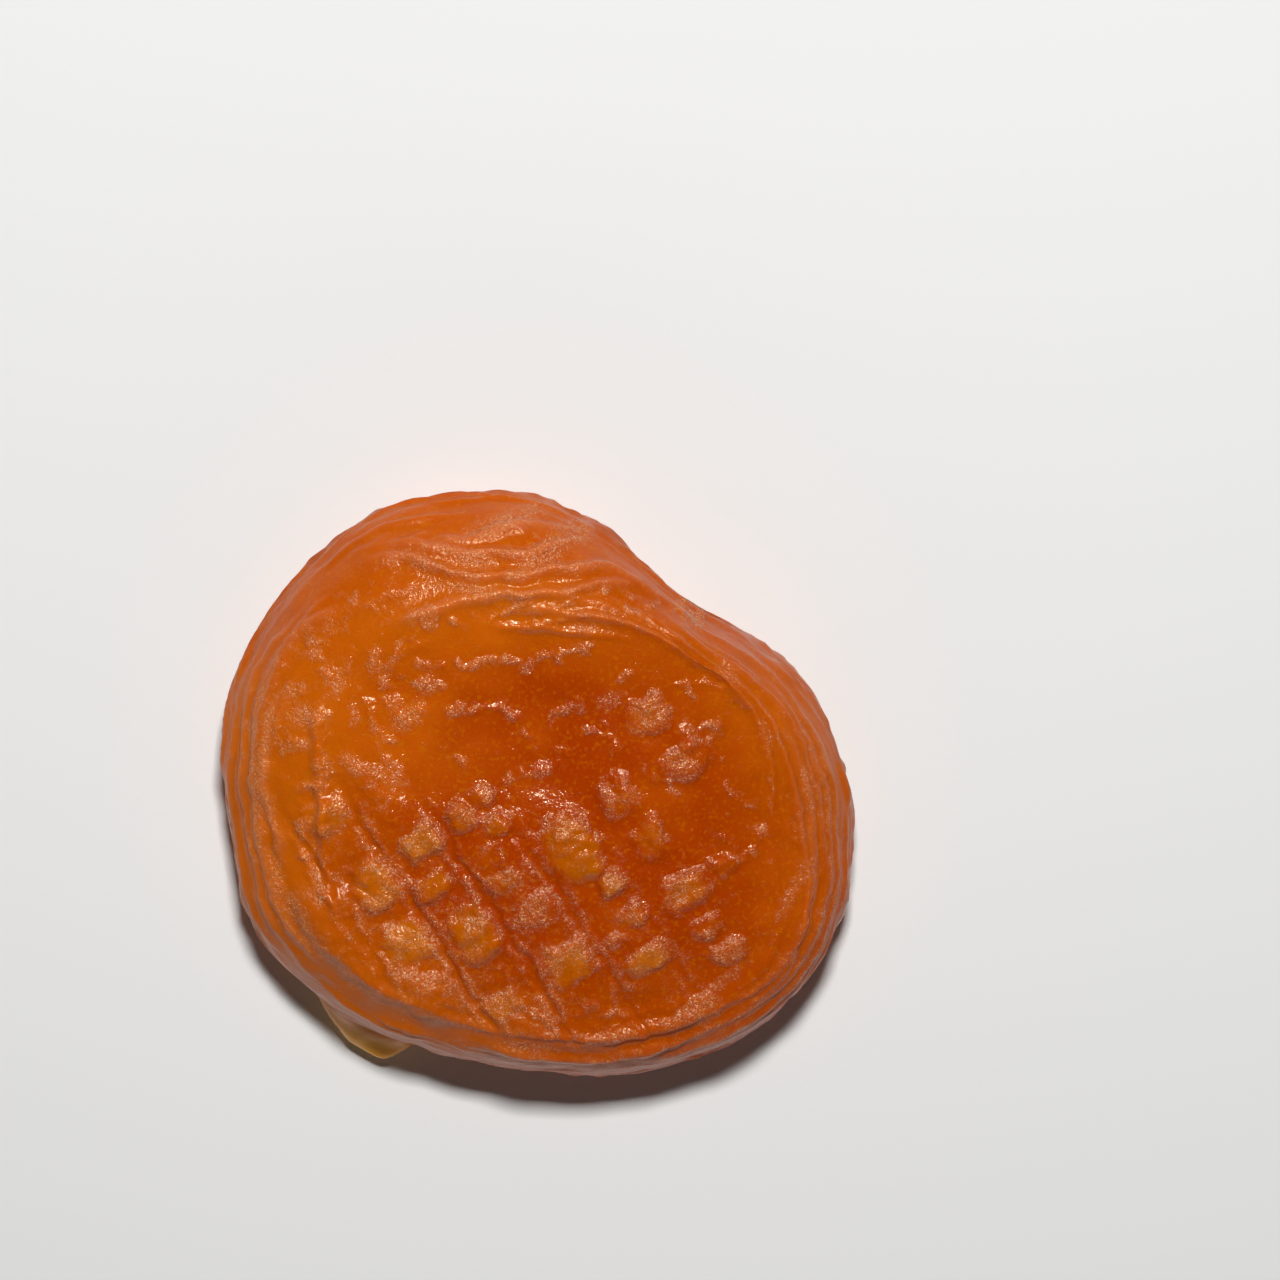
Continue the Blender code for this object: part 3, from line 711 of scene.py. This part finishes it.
def wrinkle_relief(x, y):
    """Height of the small wrinkles on the face, and how near each vertex is to one, 0 to 1."""
    relief = np.zeros_like(x)
    near = np.zeros_like(x)
    x = x + stray_of(x, y, WRINKLE_STRAYS, NOISE_PLACES["wrinkles"])
    y = y + stray_of(x, y, WRINKLE_STRAYS, NOISE_PLACES["wrinkles_across"])
    for height, width, points in WRINKLES:
        off = np.full_like(x, np.inf)
        for begin, end in zip(points, points[1:]):
            (ax, ay), (bx, by) = (begin[0] * MM, begin[1] * MM), (end[0] * MM, end[1] * MM)
            run = (bx - ax) ** 2 + (by - ay) ** 2
            share = np.clip(((x - ax) * (bx - ax) + (y - ay) * (by - ay)) / run, 0, 1)
            off = np.minimum(off, np.hypot(x - ax - share * (bx - ax), y - ay - share * (by - ay)))
        ridge = np.exp(-((off / (width * MM)) ** 2))
        relief = np.maximum(relief, WRINKLE_SHARE * height * MM * ridge)
        film = np.exp(-((off / (WRINKLE_FILM_WIDTH * width * MM)) ** 2))
        near = np.maximum(near, film * min(height / WRINKLE_FILM_HEIGHT, 1))
    breaks = stray_of(x, y, ((WRINKLE_BREAK_SIZE, 1.0),), NOISE_PLACES["wrinkle_breaks"])
    whole = smoothstep(*WRINKLE_BREAKS, breaks)
    return relief * whole, near * whole


def film_patches(x, y):
    """How dense the patches of film are at points on the bare skin, 0 to 1."""
    film = np.zeros_like(x)
    for share, mid_x, mid_y, long, wide, turn in FILM_PATCHES:
        c, s = math.cos(math.radians(turn)), math.sin(math.radians(turn))
        off_x, off_y = x - mid_x * MM, y - mid_y * MM
        off = ((c * off_x + s * off_y) / (long * MM)) ** 2 + ((c * off_y - s * off_x) / (wide * MM)) ** 2
        film = np.maximum(film, FILM_DENSITY * share * np.exp(-off))
    return film


def flank_relief(z, theta, ring):
    """Height of the sharp crested wrinkles that run round the flank."""
    relief = np.zeros_like(z)
    for i, (height, count, size) in enumerate(FLANK_WRINKLES):
        turns = count / math.tau
        place = NOISE_PLACES["flank"] + 2 * i
        wave = noise_at(turns * np.cos(theta), turns * np.sin(theta), z / size, 1, place)
        relief += height * np.clip(1 - FLANK_SHARPNESS * np.abs(wave), 0, 1)
    return relief * smoothstep(*FLANK_BEGINS, ring) * (1 - smoothstep(*FLANK_ENDS, ring))


def flesh_relief(x, y, theta):
    """Streaks and fibres that run out from the hollow across the cut flesh."""
    reach = np.hypot(x, y)
    relief = np.zeros_like(x)
    for count, height in ((STREAKS_TO_A_TURN, STREAK_HEIGHT), (FIBRES_TO_A_TURN, FIBRE_HEIGHT)):
        turns = count / math.tau
        along = reach / STREAK_LENGTH
        streaks = noise_at(turns * np.cos(theta), turns * np.sin(theta), along, 1, NOISE_PLACES["flesh"])
        relief += height * streaks
    return relief * smoothstep(0, FIBRE_FADE, reach)


def thin_at(theta):
    """How thin the flesh is towards the rim, 0 to 1, by direction."""
    return around(THIN_FLESH, theta)


def normals_of(mesh):
    """The mesh's vertex normals, a row for each vertex."""
    normals = np.empty(len(mesh.vertices) * 3, np.float32)
    mesh.vertex_normals.foreach_get("vector", normals)
    return normals.reshape(-1, 3)


def move_to(mesh, co):
    """Moves the mesh's vertices, and keeps them from sinking below the surface it lies on."""
    co[:, 2] = np.maximum(co[:, 2], 0)
    mesh.vertices.foreach_set("co", co.astype(np.float32).ravel())
    mesh.update()


def paint(mesh, name, values):
    """Keeps a number at each vertex for the material to read."""
    attribute = mesh.attributes.new(name, "FLOAT", "POINT")
    attribute.data.foreach_set("value", np.asarray(values, np.float32))


def dry_film(mesh, points, face, pads, films, edges, crests):
    """How thick the pale film is on the face and the shoulder, before it is broken up: partly a dry film
    and partly painted glints, with a painted highlight on the pads' slopes that face the key light.
    """
    x, y, down, thin = points
    # The pads' slopes that face the key light towards the stem end carry film as a painted highlight
    highlit_brow = smoothstep(*KEY_FACING_SLOPES, normals_of(mesh)[:, 1]) * smoothstep(*FROSTED_PADS, pads)
    pressed = 1 - smoothstep(*PRESSED_FROST, y + PRESSED_SLANT * x)
    on_face = HIGHLIT_BROW_FILM * highlit_brow + PAD_FILM * films + EDGE_FILM * edges + PRESSED_FILM * pressed
    on_folds = SHOULDER_FILM * (1 - face) + CREST_FILM * crests**2
    on_folds = on_folds * (1 - LOW_BARE * smoothstep(*LOW_SHOULDER, down)) * (1 - THIN_BARE * thin)
    return np.maximum(face * on_face, on_folds)


def noises(points, strengths, name):
    """A sum of (size, strength) noises at points in space."""
    return sum(strength * noise_at(*points, size, NOISE_PLACES[name]) for size, strength in strengths)


def shape_apricot(mesh, sizes):
    """Moves the pillow's vertices to the fruit's surface, and paints where its finishes lie."""
    co = np.empty(len(mesh.vertices) * 3, np.float32)
    mesh.vertices.foreach_get("co", co)
    ring, theta = ring_and_angle(co.reshape(-1, 3).astype(float))
    base, down, shoulder, lip = base_shape(ring, theta, sizes)
    move_to(mesh, base)
    x, y, z = base.T
    face = (1 - smoothstep(*PRINT_EDGE, down)) * (1 - smoothstep(*PRINT_FADE, y))
    skin = 1 - smoothstep(*SKIN_EDGE, ring)
    pads, films, creases, edges = screen_print(x, y, sizes)
    uneven = 1 + stray_of(x, y, PAD_DENTS, NOISE_PLACES["pad_dents"])
    folds, crests = fold_relief(theta, down, shoulder, x, y)
    wrinkles, near_wrinkle = wrinkle_relief(x, y)
    flesh = flesh_relief(x, y, theta)
    relief = (
        LUMP_HEIGHT * noise_at(x, y, z, LUMP_SIZE)
        + face * (sizes.pad_height * pads * uneven - CREASE_DEPTH * creases)
        + skin * (1 - smoothstep(0, WRINKLE_EDGE, down)) * wrinkles
        + skin * folds
        + flank_relief(z, theta, ring)
        + (1 - skin) * flesh
    )
    made = base + normals_of(mesh) * relief[:, None]
    move_to(mesh, made)

    thin = thin_at(theta)
    breaks = smoothstep(*FROST_BREAKS, noises(base.T, FROST_PATCHES, "film_and_glints"))
    patchy = FROST_LEAST + (1 - FROST_LEAST) * breaks
    film_and_glints = dry_film(mesh, (x, y, down, thin), face, pads, films, edges, crests)
    film_and_glints = skin * patchy * np.maximum(film_and_glints, near_wrinkle)
    film_and_glints = np.maximum(film_and_glints, skin * (ring < 1) * film_patches(x, y))
    crumple = noises(made.T, CRUMPLES, "crumples") * (CRUMPLED_SKIN * skin + CRUMPLED_FILM * film_and_glints)
    crumple = crumple + noises(made.T, SOFT_WAVES, "waves")
    x, y, z = made.T
    made = made + normals_of(mesh) * crumple[:, None]
    made[:, :2] -= (made[:, :2].min(0) + made[:, :2].max(0)) / 2
    move_to(mesh, made)

    patches = noises((x, y, z), FLESH_PATCHES, "colour")
    # Painted shade on the upper shoulder towards the stem end
    deeper = DEEP_SHARE * smoothstep(*DEEP_SHOULDER, down) * smoothstep(*DEEP_STEM_END, y)
    # Brighter towards the stem end and the left: partly painted light from the key, partly the flesh's own
    # tone
    bright = np.clip(smoothstep(*FLESH_AND_LIGHT_BRIGHTEN, y - BRIGHT_SLANT * x) + patches, 0, 1)
    yellow = THIN_SHARE * thin * smoothstep(*THIN_EDGE, down)
    dry = np.maximum(smoothstep(*DRY_SHOULDER, down), thin * smoothstep(*DRY_THIN, down))
    paint(mesh, "bright", bright * (1 - deeper))
    # The pale film, partly a dry film and partly painted glints and highlights, for the material to paint
    # over the flesh
    paint(mesh, "film_and_glints", film_and_glints)
    paint(mesh, "pad", face * smoothstep(*AMBER_PADS, pads) * np.clip(AMBER_LEVEL + patches, 0, 1))
    # Painted shade: the creases are painted darker with deep orange
    paint(mesh, "crease", face * creases)
    # Painted highlight: the fold crests are painted pale
    paint(mesh, "crest", crests**2 * (1 - face) * skin)
    paint(mesh, "flesh", 1 - skin)
    paint(mesh, "lip", lip)
    paint(mesh, "gloss", GLOSS * (1 - DRY_SHARE * dry))
    paint(mesh, "thin", yellow * skin * (1 - deeper))


def apricot_skin(colours):
    """Soft-dried apricot: translucent orange flesh under a tough waxy skin, glossy where the screen
    pressed it smooth, and frosted with fine crumples on the pads and folds between. Its colour carries
    painted
    light: shade in the creases and on the upper shoulder, highlights on the fold crests and the lit slopes,
    glints in the film's crackle, and a brightening towards the stem end."""
    material = bpy.data.materials.new("soft_dried_apricot")
    material.use_nodes = True
    tree = material.node_tree
    shader = tree.nodes["Principled BSDF"]
    where = add_node(tree, "ShaderNodeTexCoord").outputs["Object"]
    painted = {}
    for name in PAINTED:
        painted[name] = add_node(tree, "ShaderNodeAttribute", {"attribute_name": name}).outputs["Fac"]
    for name, share in PAINT_SHARES.items():
        settings = {"operation": "MULTIPLY", "use_clamp": True, 1: share}
        painted[name] = add_node(tree, "ShaderNodeMath", settings, {0: painted[name]}).outputs[0]
    fine = {}
    for name, (size, layers, roughness) in SKIN_NOISES.items():
        settings = {"Scale": 1 / size, "Detail": layers, "Roughness": roughness}
        fine[name] = add_node(tree, "ShaderNodeTexNoise", settings, {"Vector": where}).outputs["Fac"]

    begin, end = DOT_RANGE
    dots = add_node(
        tree,
        "ShaderNodeMapRange",
        {"From Min": begin, "From Max": end, "To Max": DOT_SHARE},
        {"Value": fine["dots"]},
    )
    # The film lies in ragged patches, and is crackled all over; its crackle lines are painted pale as
    # glints
    ragged = add_node(
        tree,
        "ShaderNodeMath",
        {"operation": "MULTIPLY_ADD", 1: RAGGED_SHARE},
        {0: fine["ragged"], 2: painted["film_and_glints"]},
    )
    begin, end = FILM_RANGE
    film = add_node(
        tree, "ShaderNodeMapRange", {"From Min": begin, "From Max": end}, {"Value": ragged.outputs[0]}
    ).outputs["Result"]
    wave = add_node(
        tree, "ShaderNodeMath", {"operation": "PINGPONG", 1: CRACKLE_STEP}, {0: fine["crackle"]}
    )
    crackle = add_node(
        tree, "ShaderNodeMapRange", {"From Min": CRACKLE_WIDTH, "From Max": 0.0}, {"Value": wave.outputs[0]}
    ).outputs["Result"]
    begin, end = GRAIN_RANGE
    grain = add_node(
        tree,
        "ShaderNodeMapRange",
        {"From Min": begin, "From Max": end, "To Min": GRAIN_LEAST},
        {"Value": fine["grain"]},
    )
    broken = add_node(
        tree, "ShaderNodeMath", {"operation": "MULTIPLY"}, {0: grain.outputs["Result"], 1: crackle}
    )
    # The crackle lines painted pale, as glints
    pale = add_node(
        tree,
        "ShaderNodeMath",
        {"operation": "MULTIPLY_ADD", 1: CRACKLE_SHARE, 2: CRACKLE_LEAST},
        {0: broken.outputs[0]},
    )
    painted_glints_and_film = add_node(tree, "ShaderNodeMath", {"operation": "MULTIPLY"}, {0: film, 1: pale.outputs[0]})

    # The flesh's colour, and the layers of colour over it: how much of each there is, and its colour. The
    # crease layer is painted shade, the crest layer a painted highlight, and the film layer partly a dry
    # film and partly painted glints
    settings = {"data_type": "RGBA", MIX_UNDER: (*colours.deep, 1), MIX_OVER: (*colours.bright, 1)}
    colour = add_node(tree, "ShaderNodeMix", settings, {"Factor": painted["bright"]}).outputs[MIX_RESULT]
    layers = (
        (painted["pad"], colours.amber),
        (dots.outputs["Result"], colours.amber),
        (painted["crease"], colours.deep),
        (painted["thin"], colours.yellow),
        (painted["crest"], colours.pale_film_and_glint),
        (painted_glints_and_film.outputs[0], colours.pale_film_and_glint),
        (painted["flesh"], colours.flesh),
        (painted["lip"], colours.lip),
    )
    for amount, tint in layers:
        settings = {"data_type": "RGBA", MIX_OVER: (*tint, 1)}
        links = {"Factor": amount, MIX_UNDER: colour}
        colour = add_node(tree, "ShaderNodeMix", settings, links).outputs[MIX_RESULT]

    # The crumples are full under the film and slight on bare skin
    rumpled = add_node(
        tree,
        "ShaderNodeMath",
        {"operation": "MULTIPLY_ADD", 1: CRACKLE_HEIGHT},
        {0: crackle, 2: fine["crumples"]},
    )
    amount = add_node(
        tree,
        "ShaderNodeMath",
        {"operation": "MULTIPLY_ADD", 1: 1 - CRUMPLE_LEAST, 2: CRUMPLE_LEAST},
        {0: film},
    )
    height = add_node(
        tree, "ShaderNodeMath", {"operation": "MULTIPLY"}, {0: rumpled.outputs[0], 1: amount.outputs[0]}
    )
    bump = add_node(
        tree,
        "ShaderNodeBump",
        {"Distance": CRUMPLE_DEPTH, "Strength": 1.0},
        {"Height": height.outputs[0]},
    )
    dull, waxy = ROUGH_RANGE
    roughness = add_node(
        tree,
        "ShaderNodeMapRange",
        {"From Max": GLOSS, "To Min": dull, "To Max": waxy},
        {"Value": painted["gloss"]},
    )

    for name, value in SKIN_SETTINGS.items():
        shader.inputs[name].default_value = value
    shader.inputs["Specular Tint"].default_value = (*colours.gleam, 1)
    tree.links.new(colour, shader.inputs["Base Color"])
    tree.links.new(painted["gloss"], shader.inputs["Coat Weight"])
    tree.links.new(roughness.outputs["Result"], shader.inputs["Roughness"])
    tree.links.new(bump.outputs["Normal"], shader.inputs["Normal"])
    tree.links.new(bump.outputs["Normal"], shader.inputs["Coat Normal"])
    return material


def studio_paper(stage):
    """Matt white paper: bright, with no gloss."""
    material = bpy.data.materials.new("matt_white_paper")
    material.use_nodes = True
    tree = material.node_tree
    shader = tree.nodes["Principled BSDF"]
    where = add_node(tree, "ShaderNodeTexCoord").outputs["Object"]
    grain = add_node(
        tree, "ShaderNodeTexNoise", {"Scale": 1 / PAPER_GRAIN, "Detail": PAPER_LAYERS}, {"Vector": where}
    )
    bump = add_node(
        tree,
        "ShaderNodeBump",
        {"Distance": PAPER_BUMP, "Strength": PAPER_BUMP_STRENGTH},
        {"Height": grain.outputs["Fac"]},
    )
    shader.inputs["Base Color"].default_value = (*stage.paper, 1)
    shader.inputs["Roughness"].default_value = PAPER_ROUGHNESS
    tree.links.new(bump.outputs["Normal"], shader.inputs["Normal"])
    return material


class ApricotSizes(bpy.types.PropertyGroup):
    """Sizes of the apricot half."""

    width: bpy.props.FloatProperty(
        name="Width",
        description="Width of the half at its rim",
        default=46.5 * MM,
        unit="LENGTH",
    )
    height: bpy.props.FloatProperty(
        name="Height",
        description="Height of the face above the surface it lies on",
        default=12.6 * MM,
        unit="LENGTH",
    )
    screen_pitch: bpy.props.FloatProperty(
        name="Screen Pitch",
        description="Distance between the drying screen's strands",
        default=4.75 * MM,
        unit="LENGTH",
    )
    pad_height: bpy.props.FloatProperty(
        name="Pad Height",
        description="How far the pads stand up between the strands",
        default=0.55 * MM,
        unit="LENGTH",
    )
    hollow_depth: bpy.props.FloatProperty(
        name="Hollow Depth",
        description="Depth of the hollow that the stone left",
        default=3.6 * MM,
        unit="LENGTH",
    )


class ApricotColours(bpy.types.PropertyGroup):
    """Colours of the apricot half."""

    # Deep orange also paints shade into the creases and the upper shoulder, and the mix to bright orange is
    # partly painted light towards the stem end
    deep: bpy.props.FloatVectorProperty(
        name="Deep Orange",
        description="Thick flesh seen through smooth skin",
        default=linear("#B03C01"),
        subtype="COLOR",
    )
    bright: bpy.props.FloatVectorProperty(
        name="Bright Orange",
        description="Thinner flesh seen through smooth skin",
        default=linear("#D26208"),
        subtype="COLOR",
    )
    amber: bpy.props.FloatVectorProperty(
        name="Amber",
        description="Flesh in the raised pads",
        default=linear("#D27804"),
        subtype="COLOR",
    )
    yellow: bpy.props.FloatVectorProperty(
        name="Yellow",
        description="Thin flesh at the left and the foot",
        default=linear("#CA6304"),
        subtype="COLOR",
    )
    gleam: bpy.props.FloatVectorProperty(
        name="Gleam",
        description="Tint of the skin's highlights",
        default=linear("#FFDCA8"),
        subtype="COLOR",
    )
    # The pale film's colour: partly a dry film, partly painted glints, sheen and highlights
    pale_film_and_glint: bpy.props.FloatVectorProperty(
        name="Haze",
        description="Dry film on the pads and folds",
        default=linear("#F4CCA2"),
        subtype="COLOR",
    )
    flesh: bpy.props.FloatVectorProperty(
        name="Cut Flesh",
        description="The cut side",
        default=linear("#B86A08"),
        subtype="COLOR",
    )
    lip: bpy.props.FloatVectorProperty(
        name="Lip",
        description="The thin edge of flesh beyond the skin",
        default=linear("#F0A600"),
        subtype="COLOR",
    )


class ApricotStage(bpy.types.PropertyGroup):
    """The pale floor, the soft light and the camera."""

    paper: bpy.props.FloatVectorProperty(
        name="Paper",
        description="Colour of the floor",
        default=linear("#F4F4F2"),
        subtype="COLOR",
    )
    tilt: bpy.props.FloatProperty(
        name="Camera Tilt",
        description="How far the camera leans from straight above",
        default=math.radians(12),
        subtype="ANGLE",
    )
    distance: bpy.props.FloatProperty(
        name="Camera Distance",
        description="From the camera to the fruit",
        default=0.6,
        unit="LENGTH",
    )
    key_power: bpy.props.FloatProperty(
        name="Key Power",
        description="Power of the main softbox in watts",
        default=2.65,
    )
    low_power: bpy.props.FloatProperty(
        name="Low Power",
        description="Power of the low softbox in front, in watts",
        default=0.4,
    )
    glow: bpy.props.FloatProperty(
        name="Glow",
        description="Brightness of the pale wall in front",
        default=0.25,
    )
    dim_glow: bpy.props.FloatProperty(
        name="Dim Glow",
        description="Brightness of the other walls",
        default=0.16,
    )


class APRICOT_OT_half(bpy.types.Operator):
    """Makes the dried apricot half in place of its plain solid"""

    bl_idname = "apricot.half"
    bl_label = "Dried Apricot Half"

    def execute(self, context):
        scene = context.scene
        mesh = bpy.data.meshes.new("apricot_half")
        bm = pillow(GRID_ROWS)
        bm.to_mesh(mesh)
        bm.free()
        shape_apricot(mesh, scene.apricot_sizes)
        mesh.shade_smooth()
        mesh.materials.append(apricot_skin(scene.apricot_colours))
        piece = bpy.data.objects.new("apricot_half", mesh)
        scene.collection.objects.link(piece)
        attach(piece, "root")
        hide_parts("dried_apricot")
        return {"FINISHED"}


def softbox(name, place, size, power):
    """A soft light at place that faces the fruit."""
    data = bpy.data.lights.new(name, "AREA")
    data.shape = "RECTANGLE"
    data.size, data.size_y = size
    data.energy = power
    light = bpy.data.objects.new(name, data)
    light.location = place
    light.rotation_euler = (-Vector(place)).to_track_quat("-Z", "Y").to_euler()
    bpy.context.scene.collection.objects.link(light)


def surroundings(stage):
    """A room with a pale wall in front, dimmer walls and a dark ceiling."""
    world = bpy.data.worlds.new("pale_room")
    world.use_nodes = True
    tree = world.node_tree
    way = add_node(tree, "ShaderNodeTexCoord").outputs["Generated"]
    parts = add_node(tree, "ShaderNodeSeparateXYZ", None, {0: way}).outputs
    begin, end = WALL_BEGINS
    wall = add_node(
        tree,
        "ShaderNodeMapRange",
        {"From Min": begin, "From Max": end, "To Min": stage.dim_glow, "To Max": stage.glow},
        {"Value": parts["Y"]},
    )
    begin, end = CEILING_BEGINS
    light = add_node(
        tree,
        "ShaderNodeMapRange",
        {"From Min": begin, "From Max": end, "To Max": CEILING_GLOW},
        {"Value": parts["Z"], "To Min": wall.outputs["Result"]},
    )
    tree.links.new(light.outputs["Result"], tree.nodes["Background"].inputs["Strength"])
    bpy.context.scene.world = world


def photo_camera(stage, sizes):
    """A long lens looking down, with the fruit where the photograph has it in its frame."""
    pixel = sizes.width / FRUIT_PIXELS_WIDE
    right = Vector((1, 0, 0))
    back = Vector((0, math.sin(stage.tilt), math.cos(stage.tilt)))
    up = back.cross(right)
    data = bpy.data.cameras.new("camera")
    data.sensor_width = SENSOR_WIDTH
    data.lens = SENSOR_WIDTH * stage.distance / (PHOTO_PIXELS * pixel)
    middle = PHOTO_PIXELS / 2
    aim = Vector((0, 0, sizes.height / 2))
    aim += right * (middle - FRUIT_PIXEL[0]) * pixel + up * (FRUIT_PIXEL[1] - middle) * pixel
    camera = bpy.data.objects.new("camera", data)
    turn = Matrix((right, up, back)).transposed().to_4x4()
    camera.matrix_world = Matrix.Translation(aim + back * stage.distance) @ turn
    bpy.context.scene.collection.objects.link(camera)
    bpy.context.scene.camera = camera


class APRICOT_OT_stage(bpy.types.Operator):
    """Makes the pale floor, the soft lights, the room and the camera"""

    bl_idname = "apricot.stage"
    bl_label = "Pale Studio"

    def execute(self, context):
        stage = context.scene.apricot_stage
        mesh = bpy.data.meshes.new("floor")
        bm = bmesh.new()
        bmesh.ops.create_grid(bm, x_segments=2, y_segments=2, size=FLOOR_HALF_WIDTH)
        bm.to_mesh(mesh)
        bm.free()
        mesh.materials.append(studio_paper(stage))
        floor = bpy.data.objects.new("floor", mesh)
        context.scene.collection.objects.link(floor)
        softbox("key_softbox", KEY_PLACE, KEY_SIZE, stage.key_power)
        softbox("low_softbox", LOW_PLACE, LOW_SIZE, stage.low_power)
        surroundings(stage)
        photo_camera(stage, context.scene.apricot_sizes)
        context.scene.view_settings.view_transform = "Standard"
        return {"FINISHED"}


class APRICOT_PT_panel(bpy.types.Panel):
    """The apricot's operators and values"""

    bl_label = "Dried Apricot"
    bl_idname = "APRICOT_PT_panel"
    bl_space_type = "VIEW_3D"
    bl_region_type = "UI"
    bl_category = "Apricot"

    def draw(self, context):
        scene = context.scene
        groups = (
            (scene.apricot_sizes, APRICOT_OT_half),
            (scene.apricot_colours, None),
            (scene.apricot_stage, APRICOT_OT_stage),
        )
        for group, operator in groups:
            box = self.layout.box()
            for name in group.__annotations__:
                box.prop(group, name)
            if operator:
                box.operator(operator.bl_idname)


CLASSES = (ApricotSizes, ApricotColours, ApricotStage, APRICOT_OT_half, APRICOT_OT_stage, APRICOT_PT_panel)
GROUPS = {"apricot_sizes": ApricotSizes, "apricot_colours": ApricotColours, "apricot_stage": ApricotStage}


def register():
    for made in CLASSES:
        bpy.utils.register_class(made)
    for name, group in GROUPS.items():
        setattr(bpy.types.Scene, name, bpy.props.PointerProperty(type=group))


def unregister():
    for name in GROUPS:
        delattr(bpy.types.Scene, name)
    for made in reversed(CLASSES):
        bpy.utils.unregister_class(made)


def main():
    register()
    bpy.ops.apricot.half()
    bpy.ops.apricot.stage()


if __name__ == "__main__":
    main()
